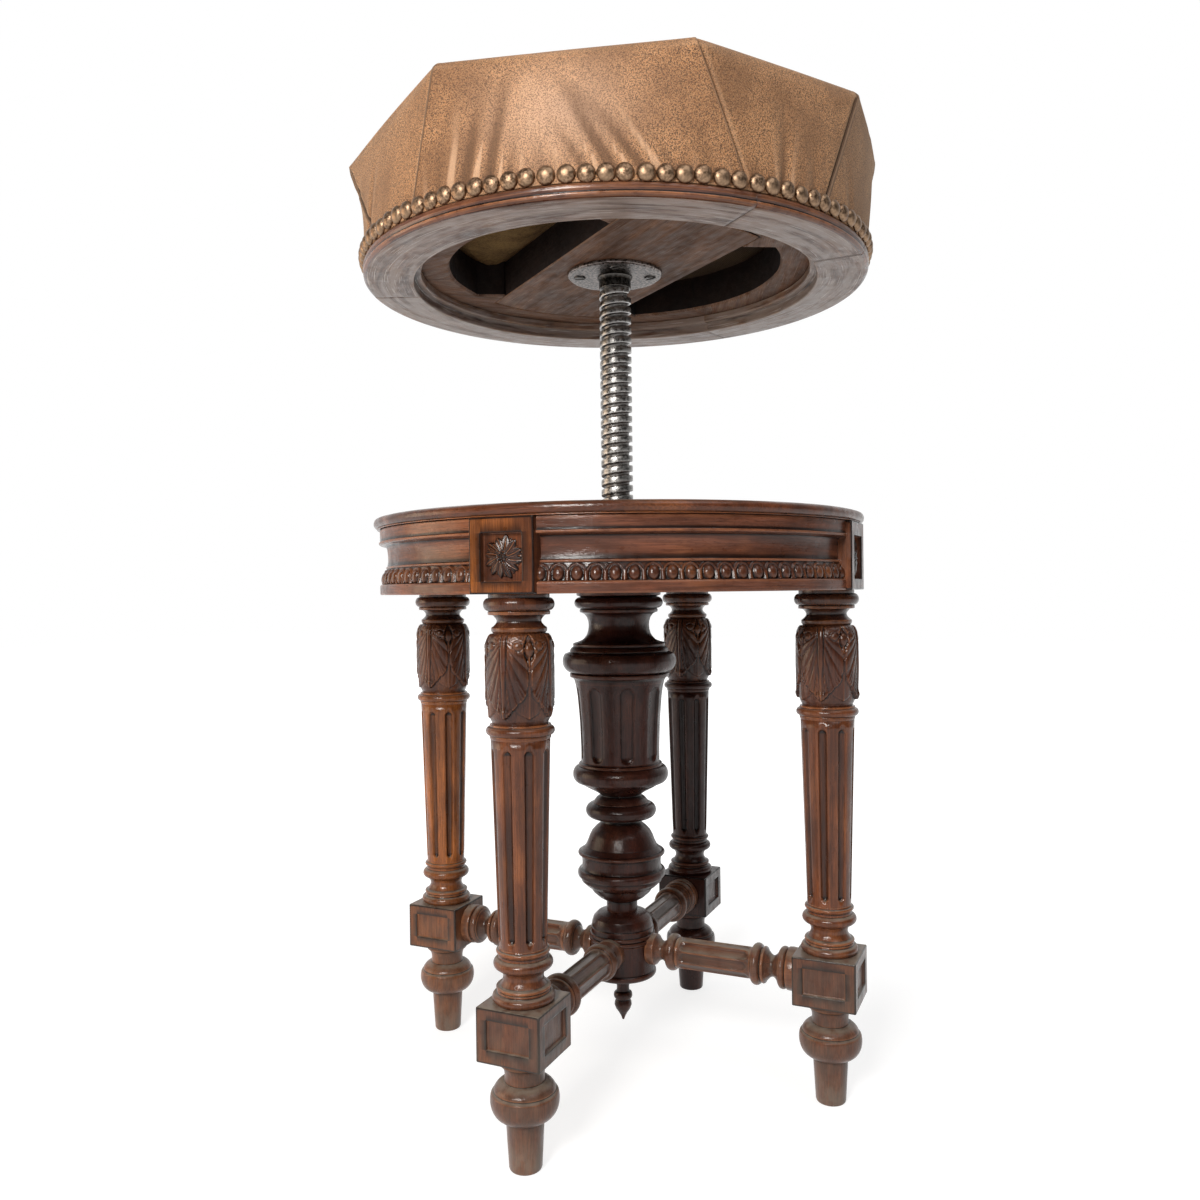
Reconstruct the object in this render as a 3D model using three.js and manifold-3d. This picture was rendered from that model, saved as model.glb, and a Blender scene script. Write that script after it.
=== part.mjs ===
// A revolving piano stool in turned and carved walnut: four fluted legs under a round moulded
// apron, a turned centre column with a cross of stretchers, and a leather-cloth box seat that
// climbs on a square-thread iron screw. Millimetres, +Z up, origin on the floor under the screw.
import * as THREE from "three";
import { mergeVertices } from "three/addons/utils/BufferGeometryUtils.js";
import Module from "manifold-3d";

const wasm = await Module();
wasm.setup();

// Driving dimensions
const GAP = 0.3; // clearance between pieces that touch
const LEG_CIRCLE = 148; // leg axes from the centre
const POST = 40; // side of the legs' square blocks
const STRETCHER_Z = 83.5;
const BLOCK_LOW = [68, 99]; // heights of a leg's lower block
const APRON_LOW = 336;
const BOARD = { low: 380, high: 387.6, radius: 170.6 };
const RAIL_INNER = 146;
const DRUM_RADIUS = 22.7;
const HUB_LOW = 63.4;
const TENON = 5; // radius of the stretchers' round tenons
const BORE_FLOOR = 208; // bottom of the well that the screw drops into

const PITCH = 7; // right-hand square thread
const SCREW = { tip: 356, neck: 551, top: 562.6, crest: 11.25, root: 8.6, land: 3.8 };
const NUT = { low: 362, boss: 15, plate: 30, thickness: 3, major: 12.2, minor: 9.5, ridge: 2.1 };

const SEAT = { low: 550.8, lip: 563, frameTop: 590, radius: 175, hoop: 169.9 };
const LIP_RADIUS = 116.3;
const BAR = { width: 98, angle: 141.5 }; // cross board of the seat, and its direction in degrees
// Each D-shaped opening beside the board is this long, and its corners are cut off, out to its round edge
const OPENING = { halfLength: 85, roundFrom: 36.4 }; // degrees from the board's direction
const FLANGE = { radius: 33.7, low: 560 };
const HEM_LOW = 559.9;
const CUSHION_EDGE = 640;
const CUSHION_TOP = 652;
const CLOTH = 1.6;
// The cushion's eight corners: direction, reach, and how far the seam leans by the nails, in degrees.
// They are hand-cut, so no two sides are alike.
const CORNERS = [
  [20, 181, 9],
  [68, 182, -9],
  [113, 181, 9],
  [158, 180, -9],
  [202, 181, 9],
  [256, 180.5, -8],
  [308, 182, 10],
  [348.5, 178.5, -9],
];

const FINISH = {
  walnut: { color: 0x4a2a18, roughness: 0.42, metalness: 0 },
  wornWalnut: { color: 0x5b3a24, roughness: 0.55, metalness: 0 },
  innerWood: { color: 0x6f5138, roughness: 0.8, metalness: 0 },
  iron: { color: 0x4b4a48, roughness: 0.38, metalness: 1 },
  suede: { color: 0x9b6f43, roughness: 0.85, metalness: 0 },
  hessian: { color: 0x8a714c, roughness: 0.95, metalness: 0 },
  stuffing: { color: 0xb79e78, roughness: 1, metalness: 0 },
};

const rad = THREE.MathUtils.degToRad;

// Solids: three.js geometry in, manifold-3d for joins and cuts, three.js geometry out
function solid(geometry) {
  const bare = geometry.index ? geometry : geometry.clone();
  bare.deleteAttribute("normal");
  bare.deleteAttribute("uv");
  const merged = mergeVertices(bare, 1e-4);
  const corners = merged.index.array;
  const kept = [];
  for (let i = 0; i < corners.length; i += 3) {
    const [a, b, c] = corners.slice(i, i + 3);
    if (a !== b && b !== c && c !== a) kept.push(a, b, c);
  }
  return new wasm.Manifold(
    new wasm.Mesh({
      numProp: 3,
      vertProperties: new Float32Array(merged.attributes.position.array),
      triVerts: new Uint32Array(kept),
    }),
  );
}

const join = (first, ...others) => others.reduce((whole, piece) => whole.add(piece), first);
const cut = (first, ...others) => others.reduce((whole, piece) => whole.subtract(piece), first);

function piece(name, shape, finish) {
  const { vertProperties, triVerts } = shape.getMesh();
  const geometry = new THREE.BufferGeometry();
  geometry.setAttribute("position", new THREE.BufferAttribute(vertProperties, 3));
  geometry.setIndex(new THREE.BufferAttribute(triVerts, 1));
  geometry.computeVertexNormals();
  const mesh = new THREE.Mesh(geometry, new THREE.MeshStandardMaterial(FINISH[finish]));
  mesh.name = name;
  return mesh;
}

// Turning: a profile is a list of [radius, height], from the bottom of the axis to its top
function turned(profile, segments) {
  const points = profile.map(([r, z]) => new THREE.Vector2(r, z));
  return solid(new THREE.LatheGeometry(points, segments).rotateX(Math.PI / 2));
}

// A turned ring: its profile closes on itself, anticlockwise, clear of the axis
const turnedRing = (profile, segments) => turned([...profile, profile[0]], segments);

// A half-round bead that stands `out` beyond radius r
function bead(r, out, low, high, steps = 2) {
  return Array.from({ length: steps + 1 }, (_, i) => {
    const a = Math.PI * (i / steps - 0.5);
    return [r + out * Math.cos(a), (low + high) / 2 + ((high - low) / 2) * Math.sin(a)];
  });
}

// A hollow between two radii, `depth` deep at its middle
function cove([r0, z0], [r1, z1], depth, steps = 2) {
  return Array.from({ length: steps + 1 }, (_, i) => {
    const t = i / steps;
    const hollow = depth * Math.sin(Math.PI * t);
    return [THREE.MathUtils.lerp(r0, r1, t) - hollow, THREE.MathUtils.lerp(z0, z1, t)];
  });
}

function box([x0, x1], [y0, y1], [z0, z1]) {
  const block = new THREE.BoxGeometry(x1 - x0, y1 - y0, z1 - z0);
  return solid(block.translate((x0 + x1) / 2, (y0 + y1) / 2, (z0 + z1) / 2));
}

function upright(radius, low, high, x = 0, y = 0, segments = 12) {
  const rod = new THREE.CylinderGeometry(radius, radius, high - low, segments);
  return solid(rod.rotateX(Math.PI / 2).translate(x, y, (low + high) / 2));
}

// A closed skin over stacked rings of equal length, closed flat at both ends
function skin(rings) {
  const around = rings[0].length;
  const positions = rings.flat(2);
  const index = [];
  for (let k = 0; k + 1 < rings.length; k++) {
    for (let i = 0; i < around; i++) {
      const a = k * around + i;
      const b = k * around + ((i + 1) % around);
      index.push(a, b, a + around, b, b + around, a + around);
    }
  }
  const last = (rings.length - 1) * around;
  for (const [start, up] of [[0, false], [last, true]]) {
    const centre = positions.length / 3;
    const ring = rings[start / around];
    const sum = ring.reduce((s, p) => [s[0] + p[0], s[1] + p[1], s[2] + p[2]], [0, 0, 0]);
    positions.push(...sum.map((v) => v / around));
    for (let i = 0; i < around; i++) {
      const a = start + i;
      const b = start + ((i + 1) % around);
      index.push(...(up ? [a, b, centre] : [b, a, centre]));
    }
  }
  const geometry = new THREE.BufferGeometry();
  geometry.setAttribute("position", new THREE.Float32BufferAttribute(positions, 3));
  geometry.setIndex(index);
  return solid(geometry);
}

// A turned stretch with flutes cut along it between two heights
function fluted(rings, { count, share, depth, from, to, phase = 0 }) {
  const sector = (2 * Math.PI) / count;
  const stations = share < 1 ? [-0.5, 0, 0.5] : [-0.5, 0]; // edge, bottom and edge of one flute
  return skin(
    rings.map(([r, z]) => {
      const hollow = z > from && z < to ? depth : 0;
      return Array.from({ length: count * stations.length }, (_, n) => {
        const at = n % stations.length;
        const a = phase + sector * (Math.floor(n / stations.length) + share * stations[at]);
        const reach = r - (at === 1 ? hollow : 0);
        return [reach * Math.cos(a), reach * Math.sin(a), z];
      });
    }),
  );
}

// Front leg, standing on its own axis with -Y outwards
const LEG_SEGMENTS = 12;
const SHAFT = { low: 130.5, high: 252.4, rLow: 14, rHigh: 17.4 };
const LEG_FLUTES = { count: 8, share: 0.44, depth: 2.3, from: 135, to: 246.3 };

function legShape() {
  const half = POST / 2;
  const foot = [
    [0, 0],
    [9.7, 0],
    [11.4, 29.8],
    ...bead(12.4, 7.9, 30.6, 54, 3),
    ...cove([12.4, 55], [13.4, 62], 0.6),
    [15.3, 64],
    [14.5, 69],
    [0, 69],
  ];
  const ankle = [
    [0, 98],
    [16.4, 98],
    ...bead(16.4, 2, 99, 105.4),
    [16.4, 107.4],
    ...cove([13.6, 109.4], [13.6, 118.6], 2.2),
    ...bead(14, 3.5, 119, 127.8, 3),
    [14.8, 130.5],
    [0, 130.5],
  ];
  const capital = [
    [0, 252.4],
    [18.2, 252.4],
    ...bead(17.8, 2.3, 254, 259.2),
    [17.8, 263.4],
    [19.3, 267.4],
    [20.7, 297],
    [19.8, 307],
    [16.4, 315],
    ...cove([14.4, 316.4], [15.4, 323.6], 1.6),
    [18, 324.4],
    ...bead(17.8, 3, 326, 334.4),
    [17.8, 336],
    [0, 336],
  ];
  const taper = (z) =>
    THREE.MathUtils.mapLinear(z, SHAFT.low, SHAFT.high, SHAFT.rLow, SHAFT.rHigh);
  const { from, to } = LEG_FLUTES;
  const shaft = [SHAFT.low - 1.5, from, from + 3, to - 3, to, SHAFT.high + 1].map((z) => [taper(z), z]);

  const panel = { half: 13.8, low: 75, high: 92.3, depth: 1.8 };
  const recess = { half: 13.4, low: 343, high: 371, depth: 4 };
  const face = (side) => [side * (half - panel.depth), side * (half + 1)].sort((a, b) => a - b);
  const panelAcross = [-panel.half, panel.half];
  const panelUp = [panel.low, panel.high];
  const socket = new THREE.CylinderGeometry(TENON + 0.8, TENON + 0.8, 14, 8);
  return cut(
    join(
      turned(foot, LEG_SEGMENTS),
      box([-half, half], [-half, half], BLOCK_LOW),
      turned(ankle, LEG_SEGMENTS),
      fluted(shaft, LEG_FLUTES),
      turned(capital, LEG_SEGMENTS),
      box([-half, half], [-half, half], [335, BOARD.low - GAP]),
    ),
    box(panelAcross, face(-1), panelUp),
    box(face(-1), panelAcross, panelUp),
    box(face(1), panelAcross, panelUp),
    box([-recess.half, recess.half], [-half - 1, recess.depth - half], [recess.low, recess.high]),
    solid(socket.translate(0, half - 6, STRETCHER_Z)),
  );
}

// Carved rosette in the recess of a leg's top block: twelve petals round a bead
const ROSETTE = { z: 357, petals: 12, reach: 12.8, notch: 10 };

function rosetteShape() {
  const back = -(POST / 2) + 4 - GAP;
  const star = (outer, inner, proud) =>
    Array.from({ length: 2 * ROSETTE.petals }, (_, i) => {
      const a = (Math.PI * i) / ROSETTE.petals;
      const r = i % 2 ? inner : outer;
      return [r * Math.cos(a), back - proud, ROSETTE.z + r * Math.sin(a)];
    });
  return skin([
    star(ROSETTE.reach, ROSETTE.notch, 0),
    star(6.8, 5.4, 3),
    star(2.6, 2.6, 3.4),
  ]);
}

// Apron: one moulded ring, cut into four rails that butt on the legs' blocks
const ROUND_SEGMENTS = 32;

function apronRail(xSide, ySide) {
  const profile = [
    [RAIL_INNER, APRON_LOW],
    [166.3, APRON_LOW],
    [166.3, 342.4],
    [163.2, 343.4],
    [163.2, 353.4],
    [161.6, 354.2],
    [160.8, 361.5],
    [161.6, 368.4],
    [166.3, 370.6],
    [166.3, BOARD.low - GAP],
    [RAIL_INNER, BOARD.low - GAP],
  ];
  const clear = POST / 2 + GAP;
  const reach = (side) => [side * clear, side * 200].sort((a, b) => a - b);
  return turnedRing(profile, ROUND_SEGMENTS).intersect(
    box(reach(xSide), reach(ySide), [APRON_LOW - 1, BOARD.low]),
  );
}

// Wood screws: countersunk heads in an iron plate, points in the wood behind it
const WOOD_SCREW = { head: 4.2, shank: 1.8, headDepth: 2.2, length: 15 };

function woodScrew(x, y, faceZ, up) {
  const { head, shank, headDepth, length } = WOOD_SCREW;
  const profile = [
    [0, 0],
    [head, 0],
    [shank, headDepth],
    [0, length],
  ];
  const shape = new THREE.LatheGeometry(profile.map(([r, z]) => new THREE.Vector2(r, z)), 8);
  shape.rotateX(Math.PI / 2);
  if (!up) shape.rotateX(Math.PI);
  return solid(shape.translate(x, y, faceZ));
}

const screwPilot = (x, y, low, high) => upright(WOOD_SCREW.shank + 0.9, low, high, x, y, 8);

function countersink(x, y, faceZ, up) {
  const { head, shank, headDepth } = WOOD_SCREW;
  const wide = head + 0.7;
  const narrow = shank + 0.9;
  const cone = new THREE.CylinderGeometry(up ? narrow : wide, up ? wide : narrow, headDepth + 0.6, 8);
  return solid(cone.rotateX(Math.PI / 2).translate(x, y, faceZ + (up ? 1 : -1) * (headDepth / 2)));
}

function ringOfScrews(count, radius, start) {
  return Array.from({ length: count }, (_, i) => {
    const a = rad(start + (360 * i) / count);
    return [radius * Math.cos(a), radius * Math.sin(a)];
  });
}

const NUT_SCREWS = ringOfScrews(3, 22.5, 90);
const FLANGE_SCREWS = ringOfScrews(4, 25, BAR.angle - 26);

// Square thread: one unbroken skin wound round the axis, whose every step has the foot and the
// crest of the ridge, and is joined to the step one turn above it across the groove
const THREAD_STEPS = 8;

function threadedRod({ root, crest, land, low, turns }) {
  const positions = [];
  const index = [];
  const steps = turns * THREAD_STEPS;
  const quad = (a, b, c, d) => index.push(a, b, c, a, c, d);
  for (let i = 0; i <= steps; i++) {
    const a = (2 * Math.PI * i) / THREAD_STEPS;
    const z = low + (PITCH * i) / THREAD_STEPS;
    for (const [r, up] of [[root, 0], [crest, 0], [crest, land], [root, land]])
      positions.push(r * Math.cos(a), r * Math.sin(a), z + up);
    if (i === steps) break;
    const p = 4 * i;
    for (const k of [0, 1, 2]) quad(p + k, p + k + 4, p + k + 5, p + k + 1);
    const above = p + 4 * THREAD_STEPS;
    if (i + THREAD_STEPS < steps) quad(p + 3, p + 7, above + 4, above);
  }
  const lowEnd = positions.length / 3;
  positions.push(0, 0, low, 0, 0, low + turns * PITCH + land);
  const foot = Array.from({ length: THREAD_STEPS + 1 }, (_, i) => 4 * i);
  const head = foot.map((v) => v + 4 * (steps - THREAD_STEPS) + 3);
  const end = 4 * steps;
  const around = (loop, hub) => loop.forEach((v, i) => index.push(hub, loop[(i + 1) % loop.length], v));
  around([...foot, 3, 2, 1], lowEnd);
  around([...head, end + 2, end + 1, end].reverse(), lowEnd + 1);
  const geometry = new THREE.BufferGeometry();
  geometry.setAttribute("position", new THREE.Float32BufferAttribute(positions, 3));
  geometry.setIndex(index);
  return solid(geometry);
}

function spindleShape() {
  const { tip, neck, top, root, crest, land } = SCREW;
  const turns = Math.floor((neck - tip - land) / PITCH);
  const shoulder = [
    [0, neck - PITCH - land],
    [root, neck - PITCH - land],
    [root, neck],
    [8, neck + GAP],
    [8, top],
    [0, top],
  ];
  return join(threadedRod({ root, crest, land, low: tip, turns }), turned(shoulder, THREAD_STEPS));
}

function nutShape() {
  const top = BOARD.high + GAP;
  const face = top + NUT.thickness;
  const body = [
    [0, NUT.low],
    [NUT.boss, NUT.low],
    [NUT.boss, top],
    [NUT.plate, top],
    [NUT.plate - 0.6, face],
    [0, face],
  ];
  const groove = PITCH - NUT.ridge; // opening between the nut's ridges, wider than the screw's land
  const play = (groove - SCREW.land) / 2;
  const low = SCREW.tip - PITCH - play;
  const tap = threadedRod({ root: NUT.minor, crest: NUT.major, land: groove, low, turns: 7 });
  return cut(
    turned(body, 16),
    tap,
    ...NUT_SCREWS.map(([x, y]) => screwPilot(x, y, top - 1, face + 1)),
    ...NUT_SCREWS.map(([x, y]) => countersink(x, y, face, false)),
  );
}

function topBoardShape() {
  const { low, high, radius } = BOARD;
  const profile = [
    [NUT.boss + 0.6, low],
    [radius - 2.4, low],
    [radius, low + 3.4],
    [radius - 2.4, high],
    [NUT.boss + 0.6, high],
  ];
  const holes = NUT_SCREWS.map(([x, y]) => screwPilot(x, y, low - 1, high + 1));
  return cut(turnedRing(profile, ROUND_SEGMENTS), ...holes);
}

// Centre column: turned outside, bored from the top for the nut's boss and the screw
const COLUMN_SEGMENTS = 16;
const VASE_FLUTES = { count: 8, share: 0.42, depth: 2, from: 218.5, to: 269, phase: rad(-57) };

function columnShape() {
  const socketTop = BOARD.low - GAP;
  const profile = [
    [0, 93],
    [8, 93],
    [8, 109.4],
    [10.9, 109.4],
    [10.9, 116.3],
    [14, 118.6],
    [22.5, 126.2],
    ...bead(28.5, 2.9, 133.4, 139.6),
    [28.3, 144],
    ...bead(28.8, 2.2, 149.4, 155.6),
    [25.2, 156],
    [22.8, 162.7],
    [18.6, 168.3],
    [13.9, 172.9],
    ...bead(19.3, 5.8, 175, 186.2, 3),
    [14.6, 191.8],
    [19, 195],
    [25.5, 198.4],
    ...bead(29.4, 4.6, 200.8, 213.2, 3),
    [29.6, 215.6],
    [25, 216.4],
    [25, 275.4],
    [35.5, 275.4],
    [35.5, 278.8],
    ...bead(33.5, 7.3, 279.4, 296.8, 3),
    [33.2, 298.4],
    ...cove([31.5, 300.2], [26.8, 321.4], 7.8, 3),
    [28.2, 323],
    ...bead(27, 4.4, 324.4, 333),
    [30, 334],
    [30, socketTop],
    [NUT.boss + 0.6, socketTop],
    [NUT.boss + 0.6, NUT.low - 1],
    [12.8, NUT.low - 1],
    [12.8, BORE_FLOOR],
    [0, BORE_FLOOR],
  ];
  const { from, to } = VASE_FLUTES;
  const vase = [
    [28, 215],
    [28, from],
    [27.9, from + 3.5],
    [28.7, 246.4],
    [30, 262.9],
    [30.7, to - 3.5],
    [31.2, to],
    [32.6, 275.4],
  ];
  const well = upright(14, BORE_FLOOR, 300);
  const wall = cut(fluted(vase, VASE_FLUTES), well);
  const pilots = NUT_SCREWS.map(([x, y]) => screwPilot(x, y, socketTop - 12, socketTop + 1));
  return cut(join(turned(profile, COLUMN_SEGMENTS), wall), ...pilots);
}

// Hub under the column, with sockets for the column, the four stretchers and the drop
function hubShape() {
  const profile = [
    [0, HUB_LOW],
    [23, HUB_LOW],
    [24, 66],
    [DRUM_RADIUS, 68.2],
    [DRUM_RADIUS, 87.6],
    ...bead(22.2, 1.3, 88.2, 92),
    [22.4, 97.9],
    [20.1, 105],
    [12, 109],
    [0, 109],
  ];
  const sockets = [0, 90].map((turn) => {
    const drill = new THREE.CylinderGeometry(TENON + 0.8, TENON + 0.8, 60, 8);
    return solid(drill.translate(0, 0, STRETCHER_Z).rotateZ(rad(turn)));
  });
  return cut(
    turned(profile, COLUMN_SEGMENTS),
    upright(9.2, 92.4, 110, 0, 0, 8),
    upright(4.2, HUB_LOW - 1, HUB_LOW + 11.4, 0, 0, 8),
    ...sockets,
  );
}

function dropShape() {
  const profile = [
    [0, 29.4],
    [1.6, 32.4],
    [5.4, 38.2],
    [6.1, 41.6],
    [5.3, 44.4],
    ...bead(5.4, 1.2, 45.4, 50),
    [5.6, HUB_LOW - GAP],
    [3.5, HUB_LOW - GAP],
    [3.5, HUB_LOW + 10.6],
    [0, HUB_LOW + 10.6],
  ];
  return turned(profile, 8);
}

// Front stretcher: turned along its length, from the hub out to the leg's block
function stretcherShape() {
  const start = DRUM_RADIUS + 0.3;
  const length = LEG_CIRCLE - POST / 2 - GAP - start;
  const depth = 11.5; // tenon length
  const inner = [
    [0, -depth],
    [TENON, -depth],
    [TENON, 0.4],
    [10.7, 0.4],
    [10.7, 4],
    ...cove([9.4, 5], [9.4, 12.6], 2.8),
    ...bead(10.2, 2.3, 13.4, 21.4),
    [0, 21.4],
  ];
  const outer = [
    [0, 73.4],
    ...bead(10.6, 3.2, 73.4, 82.6),
    ...cove([9.8, 83.6], [10.4, 92], 3.2),
    ...bead(12.2, 1.7, 92.8, 97.6),
    [14, 99],
    [14, length],
    [TENON, length],
    [TENON, length + depth],
    [0, length + depth],
  ];
  const flutes = { count: 8, share: 1, depth: 1, from: 22, to: 73 };
  const shaft = [20, 22, 25, 70, 73, 75].map((z) => [z < 21 || z > 74 ? 9.4 : 10.2, z]);
  const shape = join(turned(inner, 8), fluted(shaft, flutes), turned(outer, 8));
  return shape.rotate([90, 0, 0]).translate([0, -start, STRETCHER_Z]);
}

// Seat frame: a turned ring under a wide hoop, and a board across the hoop that carries the flange
function seatRingShape() {
  const top = SEAT.lip - GAP;
  const { low, radius, hoop } = SEAT;
  return turnedRing(
    [
      [141, low],
      [radius - 1.2, 551.2],
      [radius, 552.8],
      [radius - 0.4, 558.6],
      [radius - 1.8, 559.5],
      [hoop, 559.5],
      [hoop, top],
      [135.7, top],
      [136.4, 556.8],
      [141, 556.4],
    ],
    ROUND_SEGMENTS,
  );
}

// Outline of the hoop's middle: the two openings and, between them, the slot for the board
function hoopOutline() {
  const side = BAR.width / 2 + GAP;
  const slot = Math.asin(side / LIP_RADIUS);
  const round = rad(OPENING.roundFrom);
  const outline = new THREE.Shape().moveTo(OPENING.halfLength, -side);
  for (const end of [0, Math.PI]) {
    const [along, across] = [OPENING.halfLength, side].map((v) => (end ? -v : v));
    outline.absarc(0, 0, LIP_RADIUS, end - slot, end + slot);
    outline.lineTo(along, across);
    outline.absarc(0, 0, LIP_RADIUS, end + round, end + Math.PI - round);
    outline.lineTo(-along, across);
  }
  return outline;
}

function seatHoopShape() {
  const { lip, frameTop, hoop } = SEAT;
  const profile = [
    [0, lip],
    [hoop, lip],
    [hoop, frameTop - 4],
    [hoop - 4, frameTop],
    [0, frameTop],
  ];
  const depth = frameTop - lip + 2;
  const middle = new THREE.ExtrudeGeometry(hoopOutline(), { depth, bevelEnabled: false, curveSegments: 7 });
  return cut(
    turned(profile, ROUND_SEGMENTS),
    solid(middle.rotateZ(rad(BAR.angle)).translate(0, 0, lip - 1)),
  );
}

function crossBoardShape() {
  const reach = LIP_RADIUS - 1;
  const spread = Math.asin(BAR.width / 2 / reach);
  const outline = new THREE.Shape();
  outline.absarc(0, 0, reach, -spread, spread);
  outline.absarc(0, 0, reach, Math.PI - spread, Math.PI + spread);
  const depth = SEAT.frameTop - SEAT.lip;
  const board = new THREE.ExtrudeGeometry(outline, { depth, bevelEnabled: false, curveSegments: 4 });
  const holes = FLANGE_SCREWS.map(([x, y]) => screwPilot(x, y, SEAT.lip - 1, SEAT.lip + 14));
  return cut(solid(board.rotateZ(rad(BAR.angle)).translate(0, 0, SEAT.lip)), ...holes);
}

function flangeShape() {
  const { radius, low } = FLANGE;
  const high = SEAT.lip - GAP;
  const profile = [
    [8.6, low],
    [radius - 1, low],
    [radius, low + 0.8],
    [radius, high],
    [8.6, high],
  ];
  return cut(
    turnedRing(profile, 16),
    ...FLANGE_SCREWS.map(([x, y]) => screwPilot(x, y, low - 1, high + 1)),
    ...FLANGE_SCREWS.map(([x, y]) => countersink(x, y, low, true)),
  );
}

const collarShape = () =>
  turnedRing(
    [
      [8.6, SCREW.neck + 0.4],
      [11.2, SCREW.neck + 0.4],
      [12, FLANGE.low - GAP],
      [8.6, FLANGE.low - GAP],
    ],
    12,
  );

// Cushion: round where it is nailed, an uneven octagon along its top edge, crowned above
const SIDE_STEPS = 4;
const SIDE_BULGE = 5;

// The short way round from one direction to another, in degrees
const turn = (from, to) => THREE.MathUtils.euclideanModulo(to - from + 180, 360) - 180;

// One level of the cushion: `square` goes from 0, round, to 1, the octagon; `inset` shrinks it
function cushionRing({ z, round, square, inset, scale = 1 }) {
  const leaning = 1 - THREE.MathUtils.smoothstep(z, HEM_LOW, CUSHION_EDGE);
  return CORNERS.flatMap(([angle, reach, lean], i) => {
    const [nextAngle, nextReach, nextLean] = CORNERS[(i + 1) % CORNERS.length];
    const from = new THREE.Vector2(reach, 0).rotateAround(new THREE.Vector2(), rad(angle));
    const to = new THREE.Vector2(nextReach, 0).rotateAround(new THREE.Vector2(), rad(nextAngle));
    return Array.from({ length: SIDE_STEPS }, (_, k) => {
      const t = k / SIDE_STEPS;
      const onSide = from.clone().lerp(to, t);
      const bulged = onSide.length() + SIDE_BULGE * Math.sin(Math.PI * t);
      const r = scale * (THREE.MathUtils.lerp(round, bulged, square) - inset);
      const top = THREE.MathUtils.radToDeg(onSide.angle());
      const foot = angle + lean + t * turn(angle + lean, nextAngle + nextLean);
      const direction = rad(top + leaning * turn(top, foot));
      return [r * Math.cos(direction), r * Math.sin(direction), z];
    });
  });
}

const COVER_LEVELS = [
  { z: HEM_LOW, round: 173.9, square: 0 },
  { z: 574, round: 174.6, square: 0.02 },
  { z: 590, round: 175, square: 0.14 },
  { z: 612, round: 175, square: 0.62 },
  { z: 634, round: 175, square: 1 },
  { z: CUSHION_EDGE, round: 175, square: 1, scale: 0.982 },
  { z: 645, round: 175, square: 1, scale: 0.93 },
  { z: 649, round: 175, square: 1, scale: 0.78 },
  { z: 651.4, round: 175, square: 1, scale: 0.5 },
  { z: CUSHION_TOP, round: 175, square: 1, scale: 0.2 },
];

// The levels drawn in by a thickness, from the first one at or above a height
const within = (thickness, from) =>
  COVER_LEVELS.filter(({ z }) => z >= from).map((level) => {
    const sink = Math.min(thickness, Math.max(0, (level.z - 600) / 20));
    return cushionRing({ ...level, inset: thickness, z: level.z - sink });
  });

function coverShape() {
  const inner = within(CLOTH, HEM_LOW);
  const below = inner[0].map(([x, y, z]) => [x, y, z - 1]);
  return cut(skin(within(0, HEM_LOW)), skin([below, ...inner]));
}

function padShape() {
  const low = SEAT.frameTop + 1.8;
  const inner = within(CLOTH + GAP, 600);
  const level = { z: low, round: 173.9, square: 0.2, inset: CLOTH + 4 };
  return skin([cushionRing(level), ...inner]);
}

const canvasShape = () => upright(168, SEAT.frameTop + GAP, SEAT.frameTop + 1.5, 0, 0, ROUND_SEGMENTS);

// Assembly
const stool = new THREE.Group();
const base = new THREE.Group();
const seat = new THREE.Group();
stool.add(base, seat);

const SIDES = ["front", "right", "back", "left"];
SIDES.forEach((side, quarter) => {
  const arm = new THREE.Group();
  arm.rotation.z = (quarter * Math.PI) / 2;
  const leg = new THREE.Group();
  leg.position.y = -LEG_CIRCLE;
  leg.add(piece(`leg_${side}`, legShape(), "walnut"));
  leg.add(piece(`rosette_${side}`, rosetteShape(), "walnut"));
  arm.add(leg, piece(`stretcher_${side}`, stretcherShape(), "walnut"));
  base.add(arm);
});

const RAILS = [
  ["apron_rail_front_left", -1, -1],
  ["apron_rail_front_right", 1, -1],
  ["apron_rail_back_right", 1, 1],
  ["apron_rail_back_left", -1, 1],
];
for (const [name, xSide, ySide] of RAILS) base.add(piece(name, apronRail(xSide, ySide), "walnut"));

base.add(
  piece("top_board", topBoardShape(), "walnut"),
  piece("centre_column", columnShape(), "walnut"),
  piece("stretcher_hub", hubShape(), "walnut"),
  piece("drop_finial", dropShape(), "walnut"),
  piece("screw_nut", nutShape(), "iron"),
);
NUT_SCREWS.forEach(([x, y], i) => {
  const face = BOARD.high + GAP + NUT.thickness;
  base.add(piece(`nut_wood_screw_${i + 1}`, woodScrew(x, y, face, false), "iron"));
});

seat.add(
  piece("screw_spindle", spindleShape(), "iron"),
  piece("screw_collar", collarShape(), "iron"),
  piece("flange_plate", flangeShape(), "iron"),
  piece("seat_ring", seatRingShape(), "wornWalnut"),
  piece("seat_hoop", seatHoopShape(), "innerWood"),
  piece("seat_cross_board", crossBoardShape(), "innerWood"),
  piece("seat_canvas", canvasShape(), "hessian"),
  piece("seat_stuffing", padShape(), "stuffing"),
  piece("seat_cover", coverShape(), "suede"),
);
FLANGE_SCREWS.forEach(([x, y], i) => {
  seat.add(piece(`flange_wood_screw_${i + 1}`, woodScrew(x, y, FLANGE.low, true), "iron"));
});

export default stool;
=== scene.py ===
# %% [markdown]
# A revolving piano stool. Its frame comes packed, with every piece at its real size in metres, the
# floor at height zero and the screw on the Z axis. This lesson dresses that frame: it turns, carves
# and upholsters each piece again as a fine mesh in the same place, and gives it a finish made of
# nodes. Shapes are worked out in millimetres, as a maker's drawing is, and become metres only when
# a mesh is made.
# %% Load the frame
import math

import bpy
import numpy as np
from mathutils import Matrix, Vector


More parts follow.
